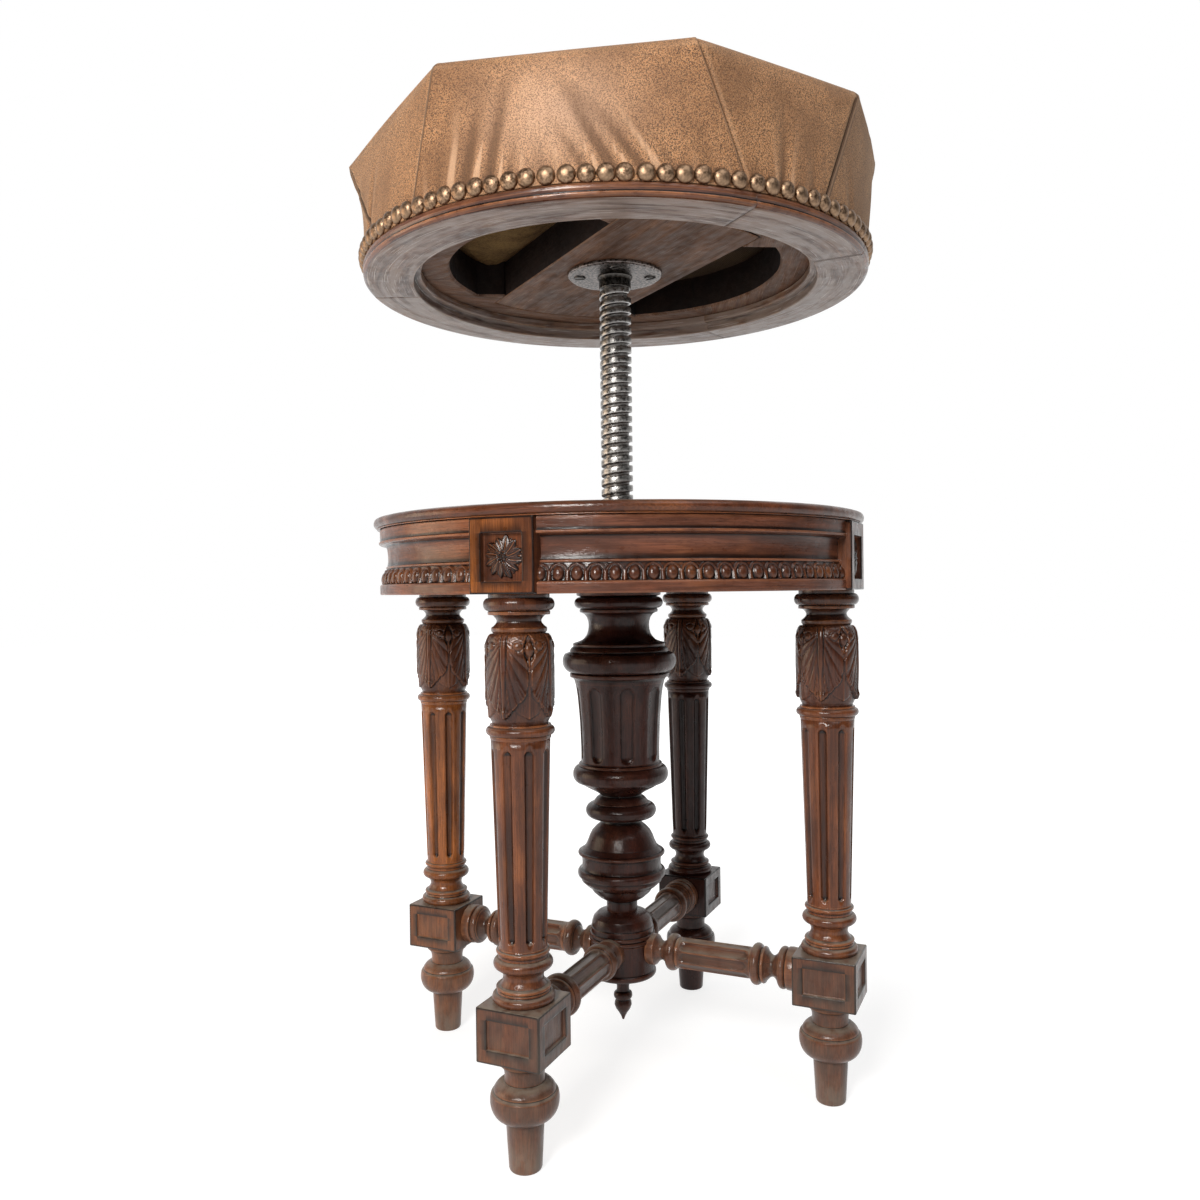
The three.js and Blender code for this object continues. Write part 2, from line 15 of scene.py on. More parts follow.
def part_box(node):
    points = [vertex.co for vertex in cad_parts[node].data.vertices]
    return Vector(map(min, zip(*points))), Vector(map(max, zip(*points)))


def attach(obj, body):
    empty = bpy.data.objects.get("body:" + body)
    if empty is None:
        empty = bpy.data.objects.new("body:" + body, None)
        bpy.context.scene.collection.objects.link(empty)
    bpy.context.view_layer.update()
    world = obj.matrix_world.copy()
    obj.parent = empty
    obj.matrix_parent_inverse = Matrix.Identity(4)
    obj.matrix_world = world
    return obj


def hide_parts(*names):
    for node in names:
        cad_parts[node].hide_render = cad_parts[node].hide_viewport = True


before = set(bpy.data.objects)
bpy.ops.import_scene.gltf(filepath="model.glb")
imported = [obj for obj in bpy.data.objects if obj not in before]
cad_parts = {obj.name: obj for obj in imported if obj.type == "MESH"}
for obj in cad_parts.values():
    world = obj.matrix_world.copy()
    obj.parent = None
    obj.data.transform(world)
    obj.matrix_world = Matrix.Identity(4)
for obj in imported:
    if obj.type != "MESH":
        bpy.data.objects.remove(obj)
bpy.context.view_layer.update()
MM = 0.001


def node_box(name):
    """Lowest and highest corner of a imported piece, in millimetres"""
    low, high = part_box(name)
    return np.array(low) / MM, np.array(high) / MM


print("pieces in the frame:", len(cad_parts))

# %% [markdown]
# The camera comes first, because everything after it is judged through it. The photograph was
# taken from near the floor, at about the height of the apron, with the nearest leg left of the
# middle. One focal length in pixels and one distance reproduce how fast the four legs shrink with
# depth, so they were fitted to the legs' outlines. A camera matrix is built from three directions,
# which is easier to reason about than three rotations.
# %% Camera
PHOTO_SIDE = 1200  # pixels
FOCAL_PIXELS = 1021.7
CAMERA_DISTANCE = 730.4
CAMERA_HEIGHT = 337.6
CAMERA_AZIMUTH = math.radians(23.1)
CAMERA_YAW = math.radians(1.04)
CAMERA_PITCH = math.radians(-0.55)
CAMERA_ROLL = math.radians(-0.67)


def around(azimuth, reach, height):
    """A point seen from the stool's axis: azimuth 0 is in front, on -Y"""
    return Vector((reach * math.sin(azimuth), -reach * math.cos(azimuth), height)) * MM


heading = CAMERA_AZIMUTH + CAMERA_YAW
level = math.cos(CAMERA_PITCH)
forward = Vector((-math.sin(heading) * level, math.cos(heading) * level, math.sin(CAMERA_PITCH)))
right = Vector((math.cos(heading), math.sin(heading), 0))
up = right.cross(forward)
cosine, sine = math.cos(CAMERA_ROLL), math.sin(CAMERA_ROLL)
axes = Matrix((cosine * right + sine * up, cosine * up - sine * right, -forward)).transposed()

camera = bpy.data.objects.new("camera", bpy.data.cameras.new("camera"))
bpy.context.scene.collection.objects.link(camera)
camera_place = around(CAMERA_AZIMUTH, CAMERA_DISTANCE, CAMERA_HEIGHT)
camera.matrix_world = Matrix.Translation(camera_place) @ axes.to_4x4()
camera.data.lens = camera.data.sensor_width * FOCAL_PIXELS / PHOTO_SIDE
camera.data.clip_start = 0.01
bpy.context.scene.camera = camera
print("lens of", round(camera.data.lens, 2), "mm")

# %% [markdown]
# A finish is a tree of shader nodes. Writing each node in one line keeps a tree readable, so the
# first helper makes a node, sets its values by name, and wires in any socket that it is given. The
# others are short names for what most finishes need: a blend of two colours, a number stretched to
# a new range, noise, and whatever the mesh carries for its finish to read.
# %% Node helpers
def new_material(name):
    material = bpy.data.materials.new(name)
    material.use_nodes = True
    material.node_tree.nodes.clear()
    return material, material.node_tree


def node(tree, kind, settings=None, **values):
    """A shader node; a value that is a socket is linked, any other is typed into the input"""
    made = tree.nodes.new("ShaderNode" + kind)
    for name, value in (settings or {}).items():
        setattr(made, name, value)
    for name, value in values.items():
        if name.startswith("in"):
            slot = made.inputs[int(name[2:])]
        else:
            slot = made.inputs[name.replace("_", " ")]
        if isinstance(value, bpy.types.NodeSocket):
            tree.links.new(value, slot)
        else:
            slot.default_value = value
    return made


def blend_colours(tree, factor, first, second, mode="MIX"):
    """Two colours mixed by a factor; each is a socket or three numbers"""
    mix = node(tree, "Mix", {"data_type": "RGBA", "blend_type": mode}, in0=factor)
    for place, value in ((6, first), (7, second)):
        if isinstance(value, bpy.types.NodeSocket):
            tree.links.new(value, mix.inputs[place])
        else:
            mix.inputs[place].default_value = (*value, 1)
    return mix.outputs[2]


def ramp(tree, value, low, high, start=0.0, end=1.0):
    """Stretches a value from low..high to start..end, and holds it there"""
    step = node(tree, "MapRange", {"interpolation_type": "SMOOTHSTEP"}, in0=value, in1=low, in2=high)
    step.inputs[3].default_value = start
    step.inputs[4].default_value = end
    return step.outputs[0]


def tinted(tree, colour, value, low, high, share, tone):
    """A colour with a tone blended in: none where a value is low, a full share where it is high"""
    return blend_colours(tree, ramp(tree, value, low, high, 0, share), colour, tone)


def calculate(tree, operation, first, second=0.0):
    return node(tree, "Math", {"operation": operation}, in0=first, in1=second).outputs[0]


def carried(tree, name, output="Fac"):
    """What a mesh carries on its points: a number, or a place as "Vector" """
    return node(tree, "Attribute", {"attribute_name": name}).outputs[output]


def noise(tree, place, scale, detail):
    """Cloudy noise, finer with a larger scale"""
    return node(tree, "TexNoise", Vector=place, Scale=scale, Detail=detail).outputs["Fac"]


def end_finish(tree, **values):
    """The shader that ends a finish, with its values by name, and the output it is wired to"""
    shader = node(tree, "BsdfPrincipled", **values)
    node(tree, "OutputMaterial", Surface=shader.outputs[0])


print("node helpers ready")

# %% [markdown]
# The photograph has a white studio background that leaves only a breath of shadow on the floor. A
# white floor lit strongly would flood the stool with light from below, so the floor stays a plain
# matt white, and only what the camera sees of it, directly or in polish and glass, is lifted
# towards pure white. The lift is complete a little way out from the stool, so no horizon shows.
# %% Floor
FLOOR_SIDE = 12.0  # metres
SHADOW_REACH = (0.2, 0.62)  # metres from the axis over which the floor's shadow fades away
SHADOW_SHARE = 0.42


def seen_rays(tree):
    """1 for rays from the camera, and for those that polish or glass sends on, else 0"""
    rays = node(tree, "LightPath").outputs
    mirrored = calculate(tree, "MAXIMUM", rays["Is Glossy Ray"], rays["Is Transmission Ray"])
    return calculate(tree, "MAXIMUM", rays["Is Camera Ray"], mirrored), mirrored


def floor_finish():
    material, tree = new_material("white_floor")
    seen = seen_rays(tree)[0]
    place = node(tree, "NewGeometry").outputs["Position"]
    reach = node(tree, "VectorMath", {"operation": "LENGTH"}, in0=place).outputs["Value"]
    lift = ramp(tree, reach, *SHADOW_REACH, 1 - SHADOW_SHARE, 1.0)
    matt = node(tree, "BsdfDiffuse", Color=(0.84, 0.84, 0.84, 1))
    white = node(tree, "Emission", Color=(1, 1, 1, 1), Strength=1.3)
    share = calculate(tree, "MULTIPLY", lift, seen)
    mix = node(tree, "MixShader", in0=share, in1=matt.outputs[0], in2=white.outputs[0])
    node(tree, "OutputMaterial", Surface=mix.outputs[0])
    return material


bpy.ops.mesh.primitive_plane_add(size=FLOOR_SIDE)
floor = bpy.context.object
floor.name = "floor"
floor.data.materials.append(floor_finish())
print("floor in place")

# %% [markdown]
# Polished wood and iron are mostly made of what they reflect. Here that is a white wall behind the
# stool, which gives every turning a bright rim, and a dark room in front of it, which keeps the
# faces deep and saturated. So the world's glow depends on the direction: strong towards the wall,
# weak towards the room. The camera sees plain white everywhere. Polish and glass see the wall just
# as white, but the room stays dark for them.
# %% Studio walls
WALL_GLOW = 0.72
ROOM_GLOW = 0.05
WALL_SPREAD = (-0.15, 0.8)  # cosines of the angles from the wall's middle, at its edge and inside it
wall_way = Vector((-math.sin(CAMERA_AZIMUTH), math.cos(CAMERA_AZIMUTH), 0.12)).normalized()

world = bpy.data.worlds.new("studio")
world.use_nodes = True
bpy.context.scene.world = world
tree = world.node_tree
tree.nodes.clear()
way = node(tree, "TexCoord").outputs["Generated"]
facing = node(tree, "VectorMath", {"operation": "DOT_PRODUCT"}, in0=way, in1=wall_way).outputs["Value"]
glow = ramp(tree, facing, *WALL_SPREAD, ROOM_GLOW, WALL_GLOW)
seen, mirrored = seen_rays(tree)
dark_side = calculate(tree, "MULTIPLY", mirrored, ramp(tree, facing, *WALL_SPREAD[::-1]))
white = calculate(tree, "SUBTRACT", seen, dark_side)
strength = calculate(tree, "MAXIMUM", glow, white)
sky = node(tree, "Background", Color=(1, 1, 1, 1), Strength=strength)
node(tree, "OutputWorld", Surface=sky.outputs[0])
bpy.context.scene.view_settings.view_transform = "Standard"
print("studio walls in place")

# %% [markdown]
# Three soft lamps make the photograph's light. The small bright spots on the nails, the necks and
# the screw sit left of their middles, so the main lamp stands left of the camera at about the
# height of the seat. A broad, warmer one far to the left turns the left faces orange, and one from
# above lights the block tops.
# %% Lamps
STOOL_MIDDLE = Vector((0, 0, 0.36))
LAMPS = (
    # name, azimuth in degrees, reach and height in metres, side in metres, watts, colour
    ("key", 3, 1.5, 1.0, 0.45, 28, (1.0, 0.975, 0.94)),
    ("left", -66, 1.5, 0.5, 0.8, 7.5, (1.0, 0.78, 0.57)),
    ("top", 60, 1.0, 1.7, 0.9, 8, (1.0, 1.0, 1.0)),
)
for name, azimuth, reach, height, side, watts, colour in LAMPS:
    lamp = bpy.data.lights.new(name, "AREA")
    lamp.size = side
    lamp.energy = watts
    lamp.color = colour
    stand = bpy.data.objects.new(name, lamp)
    bpy.context.scene.collection.objects.link(stand)
    stand.location = around(math.radians(azimuth), reach / MM, height / MM)
    stand.rotation_euler = (STOOL_MIDDLE - stand.location).to_track_quat("-Z", "Y").to_euler()
print("lamps:", ", ".join(lamp[0] for lamp in LAMPS))

# %% [markdown]
# A turner thinks in profiles: straight lines, half-round beads and hollow coves, one on top of the
# other. These helpers write a profile as a list of [radius, height]. No real edge is perfectly
# sharp, and a sharp edge catches no light, so every corner is eased by a fraction of a millimetre.
# %% Profiles
def bead(radius, out, low, high, steps=9):
    """A half-round that stands `out` beyond a radius"""
    turn = np.linspace(-math.pi / 2, math.pi / 2, steps)
    middle, half = (low + high) / 2, (high - low) / 2
    return [[radius + out * math.cos(a), middle + half * math.sin(a)] for a in turn]


def cove(start, end, depth, steps=9):
    """A hollow between two [radius, height] points"""
    points = []
    for t in np.linspace(0, 1, steps):
        radius = start[0] + (end[0] - start[0]) * t - depth * math.sin(math.pi * t)
        points.append([radius, start[1] + (end[1] - start[1]) * t])
    return points


def eased(profile, radius=0.35, closed=False):
    """Rounds every corner of a profile that turns by more than 20 degrees"""
    points = [np.array(p, float) for p in profile]
    kept = []
    for i, corner in enumerate(points):
        if not closed and i in (0, len(points) - 1):
            kept.append(corner)
            continue
        before = points[i - 1] - corner
        after = points[(i + 1) % len(points)] - corner
        long_before, long_after = np.linalg.norm(before), np.linalg.norm(after)
        if min(long_before, long_after) < 1e-6:
            continue
        straight = np.dot(before, after) / (long_before * long_after)
        if straight < -math.cos(math.radians(20)):
            kept.append(corner)
            continue
        first = corner + before / long_before * min(radius, 0.45 * long_before)
        last = corner + after / long_after * min(radius, 0.45 * long_after)
        for t in (0, 0.33, 0.67, 1):
            kept.append((1 - t) ** 2 * first + 2 * t * (1 - t) * corner + t**2 * last)
    return np.array(kept)


def filled_in(profile, step):
    """Adds points to the long stretches of a profile, no further apart than a step"""
    points = [profile[0]]
    for start, end in zip(profile[:-1], profile[1:]):
        count = max(1, math.ceil(np.linalg.norm(np.subtract(end, start)) / step))
        points += [start + (end - start) * (i + 1) / count for i in range(count)]
    return np.array(points)


print("profile helpers ready")

# %% [markdown]
# A shape here is a pair: an array of points and a list of faces. Turning makes a grid of points, a
# row for each point of the profile and a column for each direction, and carving is then a number
# added to the radius. NumPy does the whole grid at once, which is far faster than moving vertices
# one at a time in Blender.
# %% Turning
FULL_TURN = 2 * math.pi


def grid_faces(rows, columns, joined_across=True, joined_up=False):
    """Four-cornered faces of a grid of points, whose rows or columns may close on themselves"""
    row = np.arange(rows if joined_up else rows - 1)[:, None]
    column = np.arange(columns if joined_across else columns - 1)[None, :]
    above, beside = (row + 1) % rows, (column + 1) % columns
    corners = (row, column), (row, beside), (above, beside), (above, column)
    return np.stack([r * columns + c + 0 * row for r, c in corners], -1).reshape(-1, 4).tolist()


def turned(profile, angles=96, relief=None, ring=False):
    """A turned solid, or a ring whose profile closes on itself, with carving as a change of radius"""
    if isinstance(angles, int):
        angles = np.arange(angles) * FULL_TURN / angles
    radius, height = (np.asarray(profile)[:, k, None] for k in (0, 1))
    reach = radius + 0 * angles[None, :]
    if relief is not None:
        reach = reach + relief(angles[None, :], height + 0 * angles[None, :])
    points = np.stack([reach * np.cos(angles), reach * np.sin(angles), height + 0 * reach], -1)
    rows, columns = reach.shape
    faces = grid_faces(rows, columns, joined_up=ring)
    if not ring:
        faces.append(list(range(columns))[::-1])
        faces.append(list(range((rows - 1) * columns, rows * columns)))
    return points.reshape(-1, 3), faces


def together(*shapes):
    """Several shapes as one, each still closed by itself"""
    points, faces, offset = [], [], 0
    for some_points, some_faces in shapes:
        points.append(some_points)
        faces += [[v + offset for v in face] for face in some_faces]
        offset += len(some_points)
    return np.concatenate(points), faces


def moved(shape, matrix):
    """A shape turned and shifted by a matrix whose lengths are millimetres"""
    turning = np.array(matrix)
    return shape[0] @ turning[:3, :3].T + turning[:3, 3], shape[1]


def welded(shape, grain=1e-3):
    """A shape whose points that coincide are one point"""
    points, faces = shape
    _, first, place = np.unique(np.round(points / grain), axis=0, return_index=True, return_inverse=True)
    place = place.ravel()
    kept = []
    for face in faces:
        corners = list(dict.fromkeys(int(place[v]) for v in face))
        if len(corners) > 2:
            kept.append(corners)
    return points[first], kept


print("turning helpers ready")

# %% [markdown]
# Old polish wears off what sticks out and darkens in what lies deep, and the finishes also paint
# shade into what lies deep. A shader can't see either by itself, so each mesh carries it as a
# number on its points: above zero where the surface bulges, below zero where it hollows. It is the
# curvature along the mesh's edges, spread a little. A second attribute, grain, tells the wood
# finish which way the fibres run.
# %% Making a piece
def rub_of(mesh, spread):
    """How far each point of a mesh bulges or hollows, from -1 to 1"""
    count = len(mesh.vertices)
    points = np.empty(count * 3)
    mesh.vertices.foreach_get("co", points)
    points = points.reshape(-1, 3) / MM
    normals = np.empty(count * 3)
    mesh.vertex_normals.foreach_get("vector", normals)
    normals = normals.reshape(-1, 3)
    edges = np.empty(len(mesh.edges) * 2, int)
    mesh.edges.foreach_get("vertices", edges)
    a, b = edges.reshape(-1, 2).T
    across = points[b] - points[a]
    square = np.maximum((across**2).sum(1), 1e-6)
    bend = np.bincount(a, -(normals[a] * across).sum(1) / square, count)
    bend += np.bincount(b, (normals[b] * across).sum(1) / square, count)
    valence = np.maximum(np.bincount(a, minlength=count) + np.bincount(b, minlength=count), 1)
    rub_and_shade = np.clip(bend / valence * 1.6, -1, 1)
    for _ in range(spread):
        around_it = np.bincount(a, rub_and_shade[b], count) + np.bincount(b, rub_and_shade[a], count)
        rub_and_shade = (rub_and_shade + around_it) / (1 + valence)
    return rub_and_shade


def straight_grain(points):
    """Fibres along Z, as on anything turned between centres"""
    return points[:, [2, 0, 1]]


def same_place(points):
    """Fibres along X, as in a flat board, or no fibres at all"""
    return points


def add_numbers(mesh, name, values):
    """Stores a number or a vector on each point of a mesh, for its finish to read"""
    kind, key = ("FLOAT", "value") if values.ndim == 1 else ("FLOAT_VECTOR", "vector")
    mesh.attributes.new(name, kind, "POINT").data.foreach_set(key, values.astype(np.float32).ravel())


def make_piece(
    name, shape, material, body, replaces=(), grain=straight_grain, sharp=None, spread=2
):
    """A mesh object in metres, with its finish, its attributes and the body that it rides on"""
    points, faces = shape
    mesh = bpy.data.meshes.new(name)
    mesh.from_pydata((points * MM).tolist(), [], faces)
    mesh.shade_smooth()
    if sharp:
        mesh.set_sharp_from_angle(angle=math.radians(sharp))
    add_numbers(mesh, "rub_and_shade", rub_of(mesh, spread))
    add_numbers(mesh, "grain", grain(points))
    mesh.materials.append(material)
    return place_piece(name, mesh, Matrix.Identity(4), body, replaces)


def place_piece(name, mesh, matrix, body, replaces):
    """Puts a mesh into the scene, on the body that moves it and for the nodes it stands for"""
    piece = bpy.data.objects.new(name, mesh)
    bpy.context.scene.collection.objects.link(piece)
    piece.matrix_world = matrix
    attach(piece, body)
    if replaces:
        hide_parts(*replaces)
    return piece


print("piece maker ready")

# %% [markdown]
# The stool is walnut, stained and waxed until it is almost the colour of mahogany. Three things
# make wood look like wood at this distance: long fibres that vary in tone, short dark pores, and a
# polish that is uneven, orange where hands and dusters have rubbed it and nearly black in the
# carving, where old wax and painted shade darken it together. All of it comes from noise stretched
# along the grain attribute. A third attribute blends in amber: stain that has faded on the legs'
# shafts, and painted warm light on the faces that the left lamp lights. Dust lies on whatever faces
# straight up, and only low down, where nobody wipes. One function makes every kind of wood on the
# stool, because they differ only in their tones and their wear.
# %% Wood finish
# amber for stain that has faded, and for painted warm light from the left lamp
FADE_AND_LIT_AMBER = (0.33, 0.105, 0.024)
DARK_FADE_AND_LIT_AMBER = (0.11, 0.033, 0.009)
DUST = (0.2, 0.165, 0.13)


def lying_dust(tree, smear, most):
    """How much dust covers a point: by its slope and its height above the floor, in metres"""
    shape = node(tree, "NewGeometry")
    upward = node(tree, "SeparateXYZ", in0=shape.outputs["Normal"]).outputs["Z"]
    height = node(tree, "SeparateXYZ", in0=shape.outputs["Position"]).outputs["Z"]
    low_down = ramp(tree, height, 0.3, 0.12, 0.2, 1)
    share = calculate(tree, "MULTIPLY", ramp(tree, upward, 0.5, 0.95), low_down)
    foot = calculate(tree, "MULTIPLY", ramp(tree, height, 0.034, 0.0), 0.75)
    share = calculate(tree, "MAXIMUM", share, foot)
    share = calculate(tree, "MAXIMUM", share, ramp(tree, height, 0.13, 0.06, 0, 0.24))
    share = calculate(tree, "MULTIPLY", share, ramp(tree, smear, 0.25, 0.65, 0.35, 1))
    return calculate(tree, "MULTIPLY", share, most)


def wood_finish(
    name, dark, middle, rubbed, roughness=0.34, wear=1.0, dust=0.0, grey=0.0, coat=0.38, bumps=1.0
):
    """Waxed wood in three tones, as worn, dusty and shiny as its numbers say"""
    material, tree = new_material(name)
    own_shift = calculate(tree, "MULTIPLY", node(tree, "ObjectInfo").outputs["Random"], 700.0)
    fibres = carried(tree, "grain", "Vector")
    place = node(tree, "VectorMath", {"operation": "ADD"}, in0=fibres, in1=own_shift).outputs["Vector"]
    rub_and_shade = carried(tree, "rub_and_shade")

    def stretched(along, across, detail, distortion=0.0):
        """Noise in spots of a length and a width in millimetres, along the fibres"""
        scaled = node(tree, "Mapping", Vector=place, Scale=(1 / along, 1 / across, 1 / across))
        spots = node(tree, "TexNoise", Vector=scaled.outputs[0], Scale=1.0, Detail=detail)
        spots.inputs["Distortion"].default_value = distortion
        return spots.outputs["Fac"]

    figure = ramp(tree, stretched(70, 9, 4, 0.7), 0.34, 0.68, 0.4, 0.9)
    fibre = stretched(20, 0.8, 4)
    pores = stretched(4, 0.4, 2)
    smear = stretched(9, 6, 4)

    colour = blend_colours(tree, figure, dark, middle)
    faded = blend_colours(tree, figure, DARK_FADE_AND_LIT_AMBER, FADE_AND_LIT_AMBER)
    # amber blended in where the stain has faded, and as painted warm light on the faces lit from the left
    colour = blend_colours(tree, carried(tree, "warmth"), colour, faded)
    colour = tinted(tree, colour, stretched(34, 20, 5), 0.48, 0.72, 0.5 * wear, rubbed)
    streak = ramp(tree, fibre, 0.3, 0.72, 0.68, 1.25)
    streaks = node(tree, "CombineColor", in0=streak, in1=streak, in2=streak).outputs[0]
    colour = blend_colours(tree, 1.0, colour, streaks, "MULTIPLY")
    colour = tinted(tree, colour, pores, 0.6, 0.7, 0.55, [0.35 * c for c in dark])
    old_wax = ramp(tree, stretched(45, 16, 3), 0.35, 0.6, 0.5, 0.0)
    colour = blend_colours(tree, old_wax, colour, [0.6 * c for c in dark])
    # painted shade: what lies deep turns nearly black, partly old wax in the hollows and partly the shade
    # that falls there
    colour = tinted(tree, colour, rub_and_shade, -0.02, -0.24, 0.94, [0.14 * c for c in dark])
    patch = ramp(tree, smear, 0.3, 0.62, 0.25, 1.0)
    proud = calculate(tree, "MULTIPLY", ramp(tree, rub_and_shade, 0.08, 0.5, 0, 0.75 * wear), patch)
    colour = blend_colours(tree, proud, colour, [min(1.25 * c, 1) for c in rubbed])
    if grey:
        dull = calculate(tree, "MULTIPLY", ramp(tree, stretched(60, 7, 6, 0.8), 0.38, 0.6), grey)
        colour = blend_colours(tree, dull, colour, (0.33, 0.27, 0.24))
        colour = tinted(tree, colour, stretched(30, 0.7, 2), 0.6, 0.72, grey, (0.65, 0.58, 0.54))
    gloss = ramp(tree, smear, 0.3, 0.7, roughness - 0.08, roughness + 0.12)
    if dust:
        lying = lying_dust(tree, smear, dust)
        colour = blend_colours(tree, lying, colour, DUST)
        gloss = calculate(tree, "ADD", gloss, calculate(tree, "MULTIPLY", lying, 0.4))
    relief = calculate(tree, "ADD", calculate(tree, "MULTIPLY", pores, -0.6), fibre)
    fine = node(tree, "Bump", Strength=0.3 * bumps, Distance=0.0003, Height=relief).outputs[0]
    uneven = node(tree, "Bump", Strength=0.4 * bumps, Distance=0.0009, Height=smear, Normal=fine)
    end_finish(
        tree, Base_Color=colour, Roughness=gloss, Normal=uneven.outputs[0], Specular_IOR_Level=0.15,
        Coat_Weight=coat, Coat_Roughness=0.14, Coat_Normal=uneven.outputs[0],
    )
    return material


walnut = wood_finish(
    "waxed_walnut", (0.036, 0.0115, 0.006), (0.117, 0.035, 0.0145), (0.24, 0.08, 0.024),
    wear=0.75, dust=0.8,
)
rail_walnut = wood_finish(
    "rail_walnut", (0.042, 0.015, 0.009), (0.15, 0.053, 0.029), (0.27, 0.1, 0.042),
    wear=0.6, coat=0.26,
)
carved_walnut = wood_finish(
    "carved_walnut", (0.024, 0.0085, 0.0055), (0.07, 0.021, 0.01), (0.22, 0.075, 0.022),
    roughness=0.3, wear=0.7,
)
# painted shade: a darker copy of the walnut for the back leg, the column, the hub and the drop, which stand
# in shade
painted_shade_walnut = wood_finish(
    "column_walnut", (0.016, 0.0055, 0.004), (0.047, 0.013, 0.008), (0.12, 0.042, 0.02),
    wear=0.5, coat=0.22,
)
print("walnut finishes:", walnut.name, rail_walnut.name, carved_walnut.name, painted_shade_walnut.name)

# %% [markdown]
# A leg starts as a square post. The turner leaves two blocks square, where the stretcher and the
# apron are joined, and turns the rest round. A block is six flat grids whose outer points are
# pushed onto a small radius, so its edges are eased, and whose inner points sink for a panel.
# %% Square blocks
def grid_lines(reach, edge, panel_sides):
    """Where a face's grid has its lines: close together at the eased edges and a panel's sides"""
    steps = [0, 0.3 * edge, 0.7 * edge, edge, edge + 0.5, edge + 1.6]
    lines = {reach - s for s in steps} | {-(reach - s) for s in steps} | {0.0}
    for side in panel_sides:
        inward = -np.sign(side)
        lines |= {side + step * inward for step in (-0.6, -0.15, 0.05, 0.2, 0.8, 2.4)}
    return np.array(sorted(lines))


def block(half, low, high, edge=0.9, panels=None):
    """A square block with eased edges; panels gives (half width, low, high, depth) for side faces"""
    panels = panels or {}
    middle = (low + high) / 2
    centre = np.array([0, 0, middle])
    size = np.array([half, half, (high - low) / 2])
    shapes = []
    for axis in range(3):
        for side in (-1, 1):
            first, second = [k for k in range(3) if k != axis]
            panel = panels.get((axis, side))
            across = (panel[0], -panel[0]) if panel else ()
            upright = (panel[2] - middle, panel[1] - middle) if panel else ()
            wide = grid_lines(size[first], edge, across)
            tall = grid_lines(size[second], edge, upright)
            u, v = np.meshgrid(wide, tall, indexing="ij")
            cube = np.zeros(u.shape + (3,))
            cube[..., axis], cube[..., first], cube[..., second] = side * size[axis], u, v
            inner = np.clip(cube, -(size - edge), size - edge)
            out = cube - inner
            points = inner + edge * out / np.linalg.norm(out, axis=-1, keepdims=True)
            if panel:
                from_ends = np.minimum(v + middle - panel[1], panel[2] - v - middle)
                margin = np.minimum(panel[0] - abs(u), from_ends)
                points[..., axis] -= side * panel[3] * np.clip((margin + 0.1) / 0.3, 0, 1)
            faces = grid_faces(len(wide), len(tall), joined_across=False)
            flip = side < 0 if axis != 1 else side > 0
            shapes.append((points.reshape(-1, 3) + centre, [f[::-1] for f in faces] if flip else faces))
    return welded(together(*shapes))


print("block helper ready")

# %% [markdown]
# The shaft's flutes are eight round-bottomed grooves with round ends, one on each face and each
# corner. The depth of a groove follows a half circle of the distance to its middle line. Columns
# of the mesh are placed where each groove starts and ends, because an arris drawn across the grid
# would look like a saw.
# %% Flutes
def half_round(off):
    """Height of a half-round: 1 on its middle line, 0 where `off` is 1 or more"""
    return np.sqrt(np.clip(1 - off**2, 0, 1))


def fluted_angles(count, share, phase=0.0, inside=13, between=4):
    """Directions that follow the edges of evenly spaced flutes, each `share` of its sector wide"""
    sector = FULL_TURN / count
    groove = -np.cos(np.linspace(0, math.pi, inside)) / 2 * share
    land = 0.5 * share + (1 - share) * np.linspace(0, 1, between + 2)[1:-1]
    one = np.concatenate([groove, land]) * sector
    return np.sort(np.concatenate([phase + k * sector + one for k in range(count)]))


def flute_relief(count, share, depth, low, high, radius, phase=0.0):
    """Carving of round-ended flutes, as a change of radius at each direction and height"""
    sector = FULL_TURN / count
    half = share * sector / 2

    def relief(angle, height):
        across = (angle - phase + sector / 2) % sector - sector / 2
        reach = half * radius
        past_end = np.maximum(np.maximum(low + reach - height, height - (high - reach)), 0)
        off = np.sqrt((across / half) ** 2 + (past_end / reach) ** 2)
        return -depth * half_round(off)

    return relief


print("flute helpers ready")

# %% [markdown]
# Each leg has a carved capital: four large leaves hang from the ring under the neck, one on each
# face, with a bud on a stem and a small leaf in each gap. The carving is a height worked out from
# two lengths, how far a point is from the leaf's midrib and how high it is. Veins leave the midrib
# and spread as they fall, so they are curves on which the distance grows as the drop to the power
# one and a half; between two veins the surface is a shallow gouge cut.
# %% Leaf carving
CAPITAL_RADIUS = 19.5
LEAF_HEIGHT = [264.8, 265.8, 268, 270, 272.5, 275, 277.5, 280, 284, 292, 297, 300, 303, 307, 310, 313]
LEAF_HALF = [0.0, 2.2, 4.2, 6.0, 8.6, 11.2, 13.2, 14.5, 14.9, 14.9, 14.4, 12.9, 12.2, 12.4, 13.6, 15.2]
SMALL_LEAF_HEIGHT = [264.6, 266, 268, 270.5, 273, 277, 281, 286]
SMALL_LEAF_HALF = [0.0, 3.0, 6.4, 8.6, 8.0, 5.0, 2.4, 0.0]
VEIN_ORIGIN = 312.0  # height from which the veins spread
VEIN_GROWTH = 2.1  # distance of one vein over that of the one before
LEAF_PROUD = 2.1
TIP_HEIGHT = 268.2
SCROLL_ASIDE, SCROLL_HEIGHT, SCROLL_RADIUS = 8.8, 306.4, 2.5
BUD_HEIGHT, BUD_HALF_WIDTH, BUD_HALF_HEIGHT = 304.4, 2.7, 4.3
CARVING_EDGE = 0.8  # width over which carving rises from its ground


def rounded_step(value, width):
    """0 below zero, 1 past a width, and a quarter round between"""
    return half_round(1 - np.clip(value / width, 0, 1))


